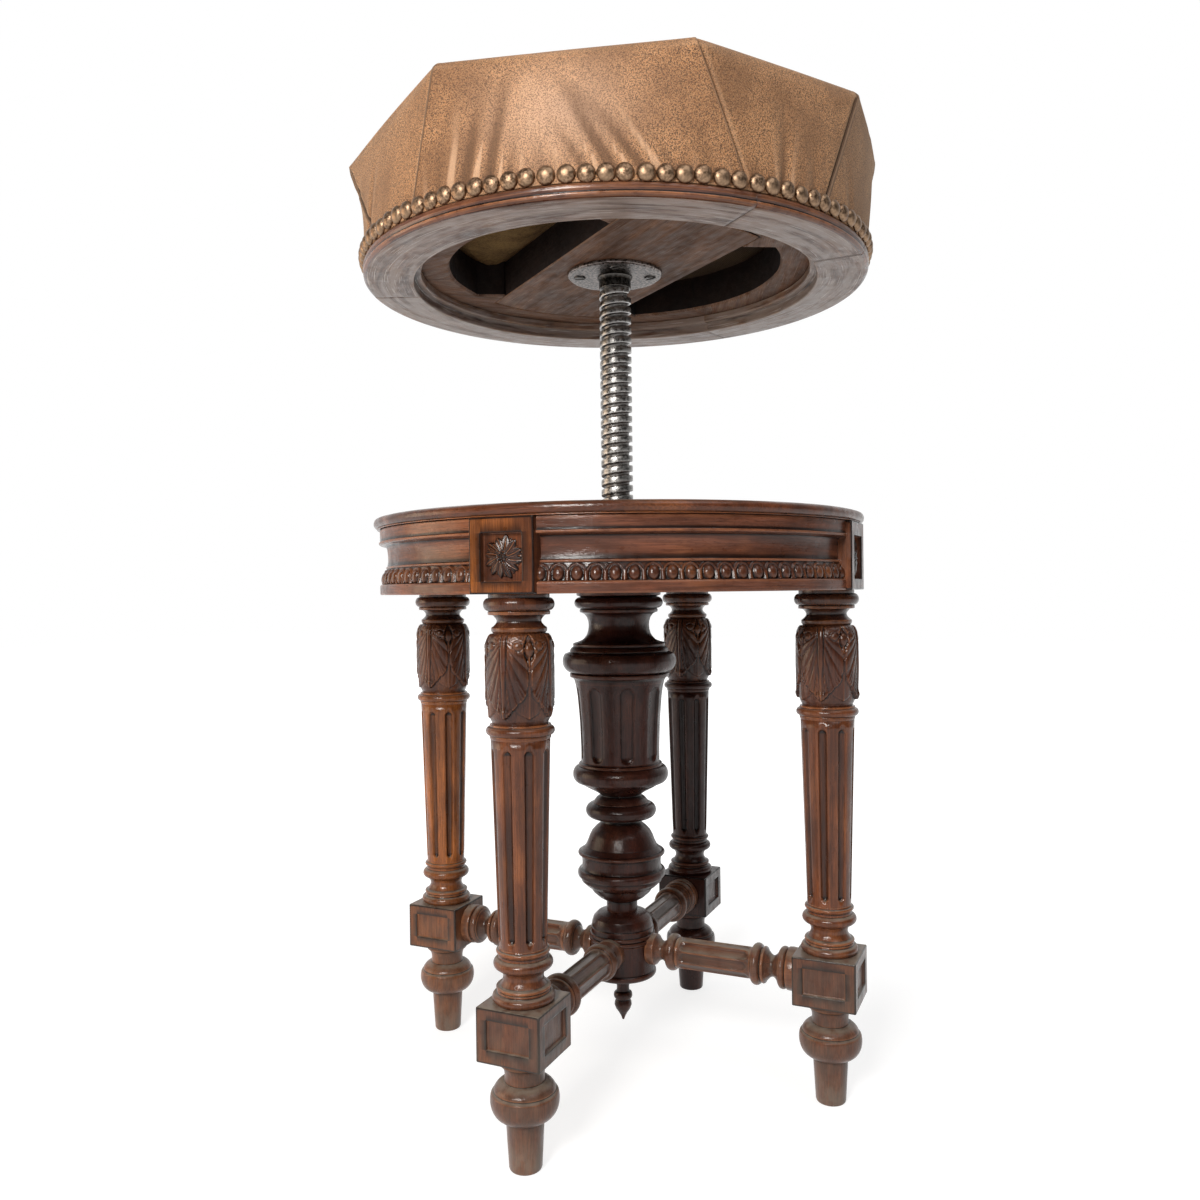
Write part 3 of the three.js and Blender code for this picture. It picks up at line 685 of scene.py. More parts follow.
def large_leaf(aside, height):
    """Height of the leaf on each face, at a distance aside from its midrib"""
    drop = np.maximum(VEIN_ORIGIN - height, 0.8)
    vein = np.log(np.maximum(aside, 0.05) / drop**1.5 / 0.018) / math.log(VEIN_GROWTH)
    gouge = half_round(2 * (vein % 1) - 1)
    half = np.interp(height, LEAF_HEIGHT, LEAF_HALF, left=-1, right=-1)
    lobes = np.interp(height, [264, 272, 284, 297], [0.3, 1.5, 1.3, 0.2])
    body = rounded_step(half - aside - lobes * (1 - gouge), CARVING_EDGE)
    rib_half = np.interp(height, [264, 300], [0.75, 1.6])
    off_rib = aside / rib_half
    rib = 0.6 * half_round(off_rib) - 0.6 * np.exp(-((off_rib - 1.25) ** 2) / 0.05)
    beside = np.clip((aside - 1.3 * rib_half) / 1.6, 0, 1)
    fan = 0.5 * (gouge - 1) * beside
    tool_marks = 0.14 * np.cos(FULL_TURN * vein * 4) * beside * np.clip((290 - height) / 14, 0, 1)
    curl = 0.5 * np.clip(aside / np.maximum(half, 1), 0, 1) ** 2
    knob = 0.9 * np.exp(-(aside**2) / 5 - (height - TIP_HEIGHT) ** 2 / 5)
    leaf = body * (LEAF_PROUD - 0.55 + rib + fan + tool_marks + curl) + body * knob
    off_scroll = np.sqrt((aside - SCROLL_ASIDE) ** 2 + (height - SCROLL_HEIGHT) ** 2) / SCROLL_RADIUS
    scroll = LEAF_PROUD - 0.7 + 0.9 * half_round(off_scroll)
    groove = 0.4 * np.exp(-((off_scroll - 1.14) ** 2) / 0.014) * (leaf > 0.2)
    return np.where(off_scroll < 1, scroll, leaf - groove)


def small_leaf_and_bud(aside, height):
    """Height of what fills the gap between two leaves, at a distance aside from its middle"""
    half = np.interp(height, SMALL_LEAF_HEIGHT, SMALL_LEAF_HALF, left=-1, right=-1)
    crown = 0.95 + 0.4 * np.exp(-(aside**2) / 0.5) - 0.012 * aside**2
    leaf = rounded_step(half - aside, CARVING_EDGE) * crown
    stem = 1.3 * rounded_step(0.8 - aside, 0.7) * ((height > 280) & (height < 301))
    off_bud = np.sqrt((aside / BUD_HALF_WIDTH) ** 2 + ((height - BUD_HEIGHT) / BUD_HALF_HEIGHT) ** 2)
    bud = np.where(off_bud < 1, 0.6 + 1.7 * half_round(off_bud), 0)
    return np.maximum(np.maximum(leaf, stem), bud)


def capital_relief(angle, height):
    """The whole capital's carving, as a change of radius"""
    quarter = FULL_TURN / 4
    from_rib = abs((angle + quarter / 2) % quarter - quarter / 2)
    leaves = large_leaf(from_rib * CAPITAL_RADIUS, height)
    between = small_leaf_and_bud((quarter / 2 - from_rib) * CAPITAL_RADIUS, height)
    return np.maximum(leaves, between) - LEAF_PROUD


print("leaf carving ready")

# %% [markdown]
# The leg is put together from its foot up: foot, lower block, ankle, fluted shaft, capital and
# upper block. Every stretch gets only as many columns as its surface needs. The four legs are
# copies of one mesh, each turned to its own side. Each gets its own share of amber: the shafts'
# stain has faded, and the amber on the left leg and on the left of the front leg's top block is
# painted warm light from the left. The back leg gets the darker walnut that paints shade, as the
# column does.
# %% Legs
leg_low, leg_high = node_box("leg_front")
LEG_CIRCLE = -(leg_low[1] + leg_high[1]) / 2
POST_HALF = (leg_high[0] - leg_low[0]) / 2
LEG_TOP = leg_high[2]
APRON_LOW = node_box("apron_rail_front_left")[0][2]
STRETCHER_Z = sum(node_box("stretcher_front")[k][2] for k in (0, 1)) / 2
SHAFT_LOW, SHAFT_HIGH = 130.5, 253.0
CARVED_LOW, CARVED_HIGH = 260.5, 337.0
LEG_FLUTES = {"count": 8, "share": 0.44, "depth": 2.4, "low": 134.6, "high": 246.6, "radius": 15.7}

foot = [[0.2, 0], [8.6, 0], [9.4, 0.5], [9.8, 1.6], [11.4, 29.8], [11.9, 30.3]]
bulb = bead(12.4, 8.0, 30.4, 52.2, 33)
foot += [point for point in bulb if point[1] < 45.8] + [[18.9, 46.2], [18.0, 46.7], [18.3, 47.3]]
foot += [[radius - 0.6, height] for radius, height in bulb if height > 47.6]
foot += cove([12.0, 52.8], [13.4, 62], 0.8) + [[14.6, 62.3], [15.3, 63.2], [14.8, 68.6], [0.2, 68.6]]
ankle = [
    [0.2, 98.4], [16.4, 98.4], *bead(15.9, 2.5, 98.8, 104.4, 11), [15.7, 104.7], [15.5, 105.7],
    [14.9, 106.1], *bead(15.0, 1.1, 106.3, 108.5, 7), [14.2, 108.8],
    *cove([13.9, 109.0], [13.6, 117.6], 1.9, 11), [14.0, 117.9], *bead(14.1, 3.4, 118.1, 124.6, 13),
    [14.6, 124.9], [14.5, 126.6], [15.0, 127.2], *bead(14.9, 1.0, 127.4, 129.8, 5), [14.6, 130.2],
    [14.2, 131.0], [0.2, 131.0],
]
collar = [
    [0.2, 251.6], [17.2, 251.6], [17.9, 252.6], [17.9, 254.0], *bead(17.7, 2.4, 254.2, 259.3, 11),
    [17.9, 259.6], [17.8, 260.6], [0.2, 260.6],
]
neck = [
    [0.2, 311], [15.0, 313.0], [16.2, 314.5], [16.3, 316.3], [15.7, 316.9],
    *cove([15.3, 317.1], [14.7, 323.2], 2.0, 9), [15.6, 323.8], [18.1, 324.0], [18.2, 325.8],
    [17.8, 326.1], *bead(17.8, 3.0, 326.3, 333.8, 13), [17.9, 334.1], [17.9, CARVED_HIGH],
    [0.2, CARVED_HIGH],
]
capital = [
    [0.2, 259.8], [18.2, 259.8], [18.4, 261.6], [19.9, 264.4], [20.2, 270], [20.5, 279], [20.7, 287],
    [20.6, 300], [20.4, 305], [19.7, 309.4], [18.6, 311.8], [16.9, 313.6], [15.6, 314.6], [0.2, 314.6],
]


def shaft_shape():
    low, high = LEG_FLUTES["low"], LEG_FLUTES["high"]
    ends = [np.linspace(low, low + 4, 11), np.linspace(high - 4, high, 11)]
    rows = [[SHAFT_LOW, SHAFT_LOW + 0.8], *ends, np.linspace(140, 235, 9), [SHAFT_HIGH]]
    heights = np.unique(np.concatenate(rows))
    radii = np.interp(heights, [SHAFT_LOW, SHAFT_HIGH], [14.1, 17.4])
    angles = fluted_angles(LEG_FLUTES["count"], LEG_FLUTES["share"])
    return turned(np.stack([radii, heights], -1), angles, flute_relief(**LEG_FLUTES))


def capital_shape():
    smooth = filled_in(eased(capital, 2.0), 0.5)
    inner = smooth[:, 0, None] < 15

    def carved(angle, height):
        within = (height > 262.2) & (height < 314.2)
        return np.where(inner, 0, np.where(within, capital_relief(angle, height), -LEAF_PROUD))

    return turned(smooth, 288, carved)


RECESS = {"half": 13.4, "low": 343.0, "high": 371.0, "depth": 4.0}
LOWER_PANEL = {"half": 13.8, "low": 75.0, "high": 92.3, "depth": 1.8}


def leg_shape():
    """A leg on the Z axis, from the floor to its top, with its outer face on -Y"""
    panels = {key: tuple(LOWER_PANEL.values()) for key in ((1, -1), (0, 1), (0, -1))}
    lower = block(POST_HALF - 0.2, 67, 99, panels=panels)
    recess = {(1, -1): tuple(RECESS.values())}
    upper = block(POST_HALF, APRON_LOW, LEG_TOP, edge=0.6, panels=recess)
    return together(
        turned(eased(foot)), lower, turned(eased(ankle)), shaft_shape(),
        turned(eased(collar)), capital_shape(), turned(eased(neck)), upper,
    )


SIDES = ["front", "right", "back", "left"]


def on_each_side(name, first, shift, replaced):
    """Copies a front piece's mesh to the other three sides of the stool"""
    mesh = first.data
    pieces = [first]
    for quarter, side in enumerate(SIDES):
        place = Matrix.Rotation(quarter * math.pi / 2, 4, "Z") @ Matrix.Translation(Vector(shift) * MM)
        if quarter == 0:
            first.matrix_world = place
            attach(first, "base")
        else:
            pieces.append(place_piece(f"{name}_{side}", mesh, place, "base", [f"{replaced}_{side}"]))
    return pieces


leg_points, leg_faces = leg_shape()
leg = make_piece("turned_leg_front", (leg_points, leg_faces), walnut, "base", ["leg_front"])
# amber share by height and by leg: faded stain on the shafts, and painted warm light, most on the left leg
# and none on the shaded back leg
FADE_AND_LIGHT_HEIGHT = [60, 104, 128, 136, 240, 256, 262, 345, 372]
FADE_AND_LIGHT_SHARE = [0.45, 0.5, 0.7, 1.0, 0.95, 0.8, 0.1, 0.1, 0.4]
FADE_AND_LIGHT_BY_LEG = (0.12, 0.12, 0.0, 1.0)  # front, right, back and left leg
leg.data.materials.append(carved_walnut)
for face in leg.data.polygons:
    face.material_index = int(CARVED_LOW < face.center.z / MM < CARVED_HIGH)
legs = on_each_side("turned_leg", leg, (0, -LEG_CIRCLE, 0), "leg")
for piece, share in zip(legs, FADE_AND_LIGHT_BY_LEG):
    piece.data = piece.data.copy()
    warmth = share * np.interp(leg_points[:, 2], FADE_AND_LIGHT_HEIGHT, FADE_AND_LIGHT_SHARE)
    if piece == leg:
        outer_face = leg_points[:, 1] < leg_points[:, 1].min() + 0.6
        top_block = outer_face & (leg_points[:, 2] > CARVED_HIGH)
        # painted light: the left of the front leg's top block is lit amber from the left
        warmth += np.interp(leg_points[:, 0], [-18, -12, 18], [1, 0.75, 0.1]) * top_block
    add_numbers(piece.data, "warmth", warmth)
# painted shade: the back leg takes the darker walnut
legs[2].data.materials[0] = painted_shade_walnut
print("leg faces:", len(leg.data.polygons))

# %% [markdown]
# A rosette is a whirl of pointed petals that fall from a cluster of beads to the floor of their sunk
# square. A flower seen from the front is a height over a disc, so the same idea as turning works: a
# grid of rings and directions, with the height of the petal at each point. Each petal leans across,
# so that it stands above the next one along one edge, and no two are equally long.
# %% Rosettes
ROSETTE_PETALS = 12
rosette_low, rosette_high = node_box("rosette_front")
ROSETTE_Z = (RECESS["low"] + RECESS["high"]) / 2
ROSETTE_REACH = 13.2


def petal_layer(angle, reach, phase, shorten, drop):
    """Height of one layer of petals; `shorten` and `drop` set the lower layer back"""
    sector = FULL_TURN / ROSETTE_PETALS
    whirl = angle - phase - 0.022 * reach
    number = np.floor((whirl + sector / 2) / sector) % ROSETTE_PETALS
    across = ((whirl + sector / 2) % sector - sector / 2) * reach
    length = ROSETTE_REACH - shorten - 0.55 * (1 + np.sin(2.6 * number + 4 * phase))
    along = np.clip(reach / length, 0, 1)
    half = 3.0 * np.minimum(along / 0.6, 1) ** 0.8 * np.clip((1 - along) / 0.36, 0, 1) ** 0.55
    margin = half - abs(across)
    arch = 2.9 - 1.5 * along**1.7 - drop
    crease = 0.35 * np.exp(-(across**2) / 0.12) * (along > 0.3)
    return np.where(margin > 0, rounded_step(margin, 0.6) * (arch - crease + 0.24 * across), 0)


def bead_cluster(x, y):
    """Height of the rosette's middle: seven small domes round a larger one"""
    beads = np.zeros(x.shape)
    for k in range(8):
        out, radius, foot = (2.3, 0.95, 2.3) if k else (0.0, 1.2, 2.4)
        turn = FULL_TURN * k / 7
        away = np.hypot(x - out * math.cos(turn), y - out * math.sin(turn))
        dome = foot + np.sqrt(np.clip(radius**2 - away**2, 0, None))
        beads = np.maximum(beads, np.where(away < radius, dome, 0))
    return beads


def rosette_shape():
    reach = np.concatenate([[0.12], np.linspace(0.5, ROSETTE_REACH, 46)])[:, None]
    angle = (np.arange(224) * FULL_TURN / 224)[None, :]
    x, y = reach * np.cos(angle), reach * np.sin(angle)
    front = petal_layer(angle, reach, 0.1, 0.0, 0.0)
    behind = petal_layer(angle, reach, 0.1 + math.pi / ROSETTE_PETALS, 1.1, 0.7)
    petals = np.maximum(front, behind)
    petals = np.where(reach < 3.4, np.minimum(petals, 2.2), petals)
    deepest = rosette_high[1] - rosette_low[1] - 0.1
    proud = np.minimum(np.maximum(petals, bead_cluster(x, y)) + 0.15, deepest)
    back = rosette_high[1] + LEG_CIRCLE
    points = np.stack([x, back - proud, ROSETTE_Z + y], -1)
    rows, columns = proud.shape
    faces = grid_faces(rows, columns)
    rim = np.stack([points[-1][:, 0], np.full(columns, back), points[-1][:, 2]], -1)
    points = np.concatenate([points.reshape(-1, 3), rim])
    edge = np.arange(columns)
    outer, wall = (rows - 1) * columns + edge, rows * columns + edge
    faces += np.stack([outer, np.roll(outer, -1), np.roll(wall, -1), wall], -1).tolist()
    faces += [list(range(columns))[::-1], wall.tolist()]
    return points, faces


rosette = make_piece("carved_rosette_front", rosette_shape(), carved_walnut, "base", ["rosette_front"])
on_each_side("carved_rosette", rosette, (0, -LEG_CIRCLE, 0), "rosette")
print("rosette faces:", len(rosette.data.polygons))

# %% [markdown]
# The apron between the legs is four curved rails, moulded alike, with a row of eggs and darts
# along the lower edge. Each rail is a section swept round the axis. Its ends are flat against the
# legs' blocks, so every point of the section starts and stops at its own angle. The rails have a
# lighter finish than the legs, and the band keeps the dark one of the carving.
# %% Apron rails
rail_low, rail_high = node_box("apron_rail_front_right")
RAIL_CLEAR = rail_low[0]
RAIL_TOP = rail_high[2]
RAIL_INNER = 146.0
RAIL_MIDDLE = 155.0  # between the plain inside of a rail and its moulded face
RAIL_RADIUS = 165.0
BAND = (343.2, 353.6)
BAND_RADIUS = 164.0
EGG_PITCH = math.radians(3.75)

rail_section = [
    [RAIL_INNER, APRON_LOW], [166.0, APRON_LOW], [166.4, APRON_LOW + 0.8], [166.4, 342.0],
    [165.9, 342.8], [164.2, BAND[0]], [163.6, 346.0], [162.9, 350.0], [161.9, BAND[1] - 0.2],
    [162.2, BAND[1] + 0.2], [162.3, 354.7], [161.4, 355.2], [160.9, 358.5], [160.9, 362.5],
    [161.4, 366.8], [162.2, 368.6], [163.4, 369.2], [166.0, 369.6], [166.9, 370.3], [166.9, 371.3],
    [166.1, 371.8], [166.2, RAIL_TOP], [RAIL_INNER, RAIL_TOP],
]


def egg_relief(angle, height):
    """Eggs under arches, with a dart between each two, as a change of radius"""
    x = ((angle + EGG_PITCH / 2) % EGG_PITCH - EGG_PITCH / 2) * BAND_RADIUS
    y = height - BAND[0]
    pitch = EGG_PITCH * BAND_RADIUS
    from_arch = np.sqrt((x / (pitch / 2 - 0.35)) ** 2 + (np.maximum(y - 4.3, 0) / 5.4) ** 2)
    rim = 1.35 * np.clip(1 - ((from_arch - 0.93) / 0.13) ** 2, 0, 1)
    egg = 2.5 * half_round(np.sqrt((x / 3.3) ** 2 + ((y - 4.2) / 4.3) ** 2))
    edge = pitch / 2 - abs(x)
    dart_half = 0.55 + 0.8 * np.clip(1 - y / 5, 0, 1)
    dart = 1.5 * half_round(edge / dart_half) * (y < 6.2)
    inside = (y > 0.1) & (y < BAND[1] - BAND[0] - 0.25)
    return np.where(inside, np.maximum(np.maximum(rim, egg), dart) - 0.35, 0)


def rail_shape(columns=400):
    section = eased(rail_section, 0.3, closed=True)
    section = filled_in(np.concatenate([section, section[:1]]), 0.55)[:-1]
    needed = np.ones(len(section), bool)
    for i in range(1, len(section) - 1):
        out, high = section[i]
        plain = not BAND[0] - 1 < high < BAND[1] + 1 or out < RAIL_MIDDLE
        straight = np.linalg.norm(section[i + 1] + section[i - 1] - 2 * section[i]) < 1e-3
        needed[i] = not (plain and straight and i % 6)
    section = section[needed]
    radius, height = section[:, 0, None], section[:, 1, None]
    start = np.arcsin(RAIL_CLEAR / radius)
    share = np.linspace(0, 1, columns)[None, :]
    angle = start + (math.pi / 2 - 2 * start) * share
    reach = radius + np.where(radius > RAIL_MIDDLE, egg_relief(angle, height + 0 * angle), 0)
    points = np.stack([reach * np.sin(angle), -reach * np.cos(angle), height + 0 * angle], -1)
    rows = len(section)
    faces = grid_faces(rows, columns, joined_across=False, joined_up=True)
    first = [r * columns for r in range(rows)]
    faces += [first, [v + columns - 1 for v in first][::-1]]
    return points.reshape(-1, 3), faces


def curved_grain(points):
    """Fibres that follow the rail round the axis"""
    angle = np.arctan2(points[:, 1], points[:, 0])
    return np.stack([angle * RAIL_RADIUS, np.hypot(points[:, 0], points[:, 1]), points[:, 2]], -1)


rail = make_piece(
    "moulded_rail_front_right", rail_shape(), rail_walnut, "base", ["apron_rail_front_right"],
    grain=curved_grain,
)
rail.data.materials.append(carved_walnut)
for face in rail.data.polygons:
    face.material_index = int(BAND[0] < face.center.z / MM < BAND[1])
rails = [rail]
for quarter, corner in enumerate(["back_right", "back_left", "front_left"], 1):
    name, replaced = f"moulded_rail_{corner}", [f"apron_rail_{corner}"]
    turn = Matrix.Rotation(quarter * math.pi / 2, 4, "Z")
    rails.append(place_piece(name, rail.data, turn, "base", replaced))
# painted light: the front-left rail, lit from the left, carries a little amber
faded_rail = rails[-1]
faded_rail.data = rail.data.copy()
add_numbers(faded_rail.data, "warmth", np.full(len(rail.data.vertices), 0.2))
print("rail faces:", len(rail.data.polygons))

# %% [markdown]
# The round top board is one flat turning with a rounded edge and a hole for the nut. Its grain
# runs straight across, and the edge is a little uneven, as an old board's is.
# %% Top board
board_low, board_high = node_box("top_board")
BOARD_RADIUS = board_high[0]
nut_low, nut_high = node_box("screw_nut")
NUT_BOSS = 15.0
NUT_HOLE = NUT_BOSS + 0.6


def board_wear(angle, height):
    """A few shallow dents and hollows along the edge"""
    waves = 0.16 * np.sin(3 * angle + 1) + 0.1 * np.sin(11 * angle + 2) + 0.06 * np.sin(29 * angle)
    return np.where(abs(height - (board_low[2] + board_high[2]) / 2) < 3.9, waves - 0.3, 0)


def board_shape():
    low, high = board_low[2], board_high[2]
    flat = BOARD_RADIUS - 4.6
    profile = [
        [NUT_HOLE, low], [60, low], [flat + 1, low], [BOARD_RADIUS - 2.2, low],
        [BOARD_RADIUS - 2.2, low + 0.6], *bead(BOARD_RADIUS - 2.6, 2.6, low + 0.7, high - 0.5, 11),
        [flat, high], [120, high], [60, high], [NUT_HOLE, high],
    ]
    smooth = eased(profile, 0.4, closed=True)
    rim = smooth[:, 0, None] > flat + 2

    def worn(angle, height):
        return np.where(rim, board_wear(angle, height), 0)

    return turned(smooth, 240, worn, ring=True)


top_board = make_piece("top_round_board", board_shape(), walnut, "base", ["top_board"], grain=same_place)
print("board faces:", len(top_board.data.polygons))

# %% [markdown]
# The centre column carries the nut and hides the screw when the seat is low, so it is hollow from
# its head down into the ring under the fluted vase. Its profile is read from the photograph at true
# height, because the camera stands level with its top: each ring shows its half-width there without
# distortion. Only the vase needs columns of points that follow flutes, so it is a shape of its own.
# %% Centre column
VASE_FLUTES = {
    "count": 8, "share": 0.42, "depth": 2.0, "low": 217.0, "high": 270.0, "radius": 29.0,
    "phase": math.radians(-57),
}
COLUMN_TOP = node_box("centre_column")[1][2]
WELL = {"radius": 12.8, "floor": 208.0}

column_foot = [
    [0.2, 108.6], [10.9, 108.6], [10.9, 116.6], [13.4, 117.4], [16.4, 119.2], [20.4, 122.8],
    [22.8, 126.4], [24.6, 127.2], [28.6, 130.8], [28.9, 133.2], *bead(29.2, 2.2, 133.4, 139.4, 9),
    [28.6, 140.0], *cove([28.4, 140.4], [28.6, 148.6], 0.5, 5), [28.9, 149.0],
    *bead(29.0, 2.0, 149.2, 152.2, 7), [28.6, 152.6], [25.6, 155.4], [23.9, 159.0], [22.6, 162.6],
    [20.8, 166.0], [18.2, 168.8], [15.6, 170.9], [14.3, 172.3], [14.0, 174.0], [15.6, 174.8],
    *bead(19.5, 5.6, 175.4, 186.0, 17), [19.8, 186.4], [17.5, 189.5], [14.6, 191.4], [14.6, 192.0],
    [16.2, 193.2], [18.8, 194.8], [21.9, 196.4], [25.5, 198.4], [27.6, 199.9],
    *bead(29.4, 4.6, 200.8, 212.8, 15), [29.9, 213.0], [29.6, 214.6], [28.4, 215.2], [27.9, 216.2],
    [WELL["radius"], 216.2], [WELL["radius"], WELL["floor"]], [0.2, WELL["floor"]],
]

vase = [[27.9, 215], [27.9, 226], [28.6, 245], [30.0, 262], [31.0, 269], [32.0, 273]]

column_head = [
    [WELL["radius"], 271.4], [31.6, 271.4], [32.4, 274.2], [33.6, 275.6], [35.4, 276.2], [35.6, 278.2],
    [35.0, 278.8], *[point for point in bead(33.6, 6.9, 279.2, 295.4, 19) if point[1] < 293.4],
    [35.6, 293.7], [35.0, 294.2], [35.3, 294.8], [34.4, 296.4], [33.2, 297.4], [32.6, 298.0],
    [33.0, 298.5], [33.0, 299.7], [32.2, 300.2], [29.6, 300.9], [26.4, 302.2], [24.6, 303.8],
    [23.4, 305.2], [22.6, 306.8], [21.8, 309.6], [21.5, 312.7], [21.8, 315.6], [22.7, 318.4],
    [24.4, 320.6], [26.2, 321.6], [27.7, 322.0], [27.9, 323.8], [27.3, 324.3],
    *bead(27.2, 4.4, 324.6, 332.8, 13), [27.6, 333.2], [30, 334], [30, COLUMN_TOP],
    [NUT_HOLE, COLUMN_TOP], [NUT_HOLE, nut_low[2] - 1], [WELL["radius"], nut_low[2] - 1],
]


def vase_shape():
    ends = [np.linspace(215.6, 223, 16), np.linspace(264, 272.4, 18)]
    heights = np.unique(np.concatenate([*ends, np.linspace(225, 262, 7)]))
    vase_radii, vase_heights = np.transpose(vase)
    radii = np.interp(heights, vase_heights, vase_radii)
    angles = fluted_angles(VASE_FLUTES["count"], VASE_FLUTES["share"], VASE_FLUTES["phase"], 15, 5)
    bore = WELL["radius"] + 0.2
    profile = [*np.stack([radii, heights], -1), [bore, heights[-1]], [bore, heights[0]]]
    return turned(profile, angles, flute_relief(**VASE_FLUTES), ring=True)


head_shape = turned(eased(column_head, closed=True), 128, ring=True)
column_shape = together(turned(eased(column_foot), 128), vase_shape(), head_shape)
# painted shade: the column, and below it the hub and the drop, take the darker walnut
column = make_piece("turned_centre_column", column_shape, painted_shade_walnut, "base", ["centre_column"])
print("column faces:", len(column.data.polygons))

# %% [markdown]
# Under the column, a turned hub takes the four stretchers, and a small drop closes it from below.
# Both are plain turnings with fine grooves round them.
# %% Hub and drop
HUB_LOW = node_box("stretcher_hub")[0][2]
hub_profile = [
    [0.2, HUB_LOW], [22.4, HUB_LOW], [23.2, HUB_LOW + 0.5], [23.9, 65.0], [23.9, 66.6], [22.9, 67.6],
    [22.7, 68.4], [22.7, 87.0], [22.9, 87.8], *bead(22.4, 1.2, 88.2, 91.0, 7),
    *bead(22.2, 1.2, 91.4, 94.2, 7), [22.3, 94.8], [22.4, 97.6], [21.8, 98.4], [21.6, 100.8],
    [20.4, 104.4], [17.4, 107.4], [12.6, 109.0], [0.2, 109.4],
]
hub = make_piece("turned_hub", turned(eased(hub_profile), 112), painted_shade_walnut, "base", ["stretcher_hub"])

drop_profile = [
    [0.1, 29.5], [0.7, 29.9], [1.6, 32.4], [3.2, 35.2], [5.2, 38.0], [6.2, 40.8], [5.9, 43.0],
    [5.2, 44.6], *bead(5.3, 1.4, 45.2, 50.2, 9), [4.6, 50.8], [4.4, 53.6], [5.0, 57.4], [5.7, 60.2],
    [5.7, HUB_LOW - 0.3], [0.1, HUB_LOW - 0.3],
]
drop = make_piece("turned_drop", turned(eased(drop_profile), 48), painted_shade_walnut, "base", ["drop_finial"])
print("hub and drop:", len(hub.data.polygons) + len(drop.data.polygons), "faces")

# %% [markdown]
# Each stretcher is a short column lying down: a ring against the hub, a neck, a bead, eight wide
# flutes with thin ridges between them, and the same in reverse against the leg. It is turned
# upright here, and then laid down with a matrix.
# %% Stretchers
HUB_RADIUS = 22.7
STRETCHER_LENGTH = LEG_CIRCLE - POST_HALF - HUB_RADIUS
stretcher_inner = [
    [0.2, -2], [10.4, -2], [10.7, 0.6], [10.6, 3.6], [10.0, 4.2],
    *cove([9.3, 4.6], [9.3, 12.8], 2.9, 9), [10.2, 13.0], *bead(10.2, 2.4, 13.2, 19.8, 9), [10.6, 20.1],
    [10.5, 21.8], [0.2, 21.8],
]
stretcher_outer = [
    [0.2, 72.8], [10.4, 72.8], [10.8, 73.4], *bead(10.8, 3.0, 73.6, 80.0, 9),
    *bead(10.8, 1.4, 80.4, 83.0, 5), [10.2, 83.4], *cove([9.9, 83.8], [10.4, 91.8], 3.2, 9),
    [11.8, 92.2], *bead(12.0, 1.9, 92.6, 97.4, 7), [12.4, 97.7], [13.9, 98.2], [14.1, 100.4],
    [13.8, STRETCHER_LENGTH], [0.2, STRETCHER_LENGTH],
]
STRETCHER_FLUTES = {"count": 8, "share": 0.86, "depth": 1.5, "low": 23.0, "high": 71.8, "radius": 10.2}


def stretcher_shape():
    ends = [np.linspace(21.4, 27, 12), np.linspace(67.8, 73.4, 12)]
    heights = np.unique(np.concatenate([*ends, np.linspace(30, 65, 5)]))
    shaft = turned(
        np.stack([np.full(len(heights), 10.3), heights], -1),
        fluted_angles(STRETCHER_FLUTES["count"], STRETCHER_FLUTES["share"], inside=11, between=2),
        flute_relief(**STRETCHER_FLUTES),
    )
    upright = together(turned(eased(stretcher_inner), 72), shaft, turned(eased(stretcher_outer), 72))
    lay_down = Matrix.Translation((0, -HUB_RADIUS, STRETCHER_Z)) @ Matrix.Rotation(math.pi / 2, 4, "X")
    return moved(upright, lay_down)


def stretcher_grain(points):
    """Fibres along Y, the front stretcher's length"""
    return points[:, [1, 0, 2]]


stretcher = make_piece(
    "turned_stretcher_front", stretcher_shape(), walnut, "base", ["stretcher_front"], grain=stretcher_grain
)
on_each_side("turned_stretcher", stretcher, (0, 0, 0), "stretcher")
print("stretcher faces:", len(stretcher.data.polygons))

# %% [markdown]
# The iron is dark and oily where nothing touches it, and bright where the nut or a hand has
# polished it. The mesh's number for bulges and hollows does most of that work; fine noise breaks
# up the shine, and a trace of brown rust sits in the hollows.
# %% Iron finish
def iron_finish(name, dark, bright, roughness=0.3, pits=1.0):
    """Iron that is bright where it is rubbed and brown where it is hollow"""
    material, tree = new_material(name)
    place = carried(tree, "grain", "Vector")
    rub_and_shade = carried(tree, "rub_and_shade")
    fine = noise(tree, place, 0.5, 5.0)
    spots = ramp(tree, fine, 0.43, 0.58, -0.22 * pits, 0.22 * pits)
    shine = calculate(tree, "ADD", ramp(tree, rub_and_shade, -0.25, 0.5), spots)
    colour = blend_colours(tree, shine, dark, bright)
    clouds = ramp(tree, noise(tree, place, 0.13, 4.0), 0.4, 0.65, 0.1, 0.8)
    rust = calculate(tree, "MULTIPLY", ramp(tree, rub_and_shade, 0.0, -0.4), clouds)
    colour = blend_colours(tree, rust, colour, (0.035, 0.018, 0.01))
    gloss = ramp(tree, fine, 0.3, 0.7, roughness - 0.08, roughness + 0.16)
    pitted = node(tree, "Bump", Strength=0.25 * pits, Distance=0.0005, Height=fine)
    end_finish(tree, Base_Color=colour, Roughness=gloss, Normal=pitted.outputs[0], Metallic=1.0)
    return material


screw_iron = iron_finish("thread_iron", (0.13, 0.123, 0.116), (0.52, 0.51, 0.495), 0.33, 0.8)
plate_iron = iron_finish("plate_iron", (0.012, 0.0095, 0.0085), (0.235, 0.205, 0.19), 0.34, 2.6)
head_iron = iron_finish("head_iron", (0.01, 0.009, 0.008), (0.085, 0.078, 0.072))
print("iron finishes ready")

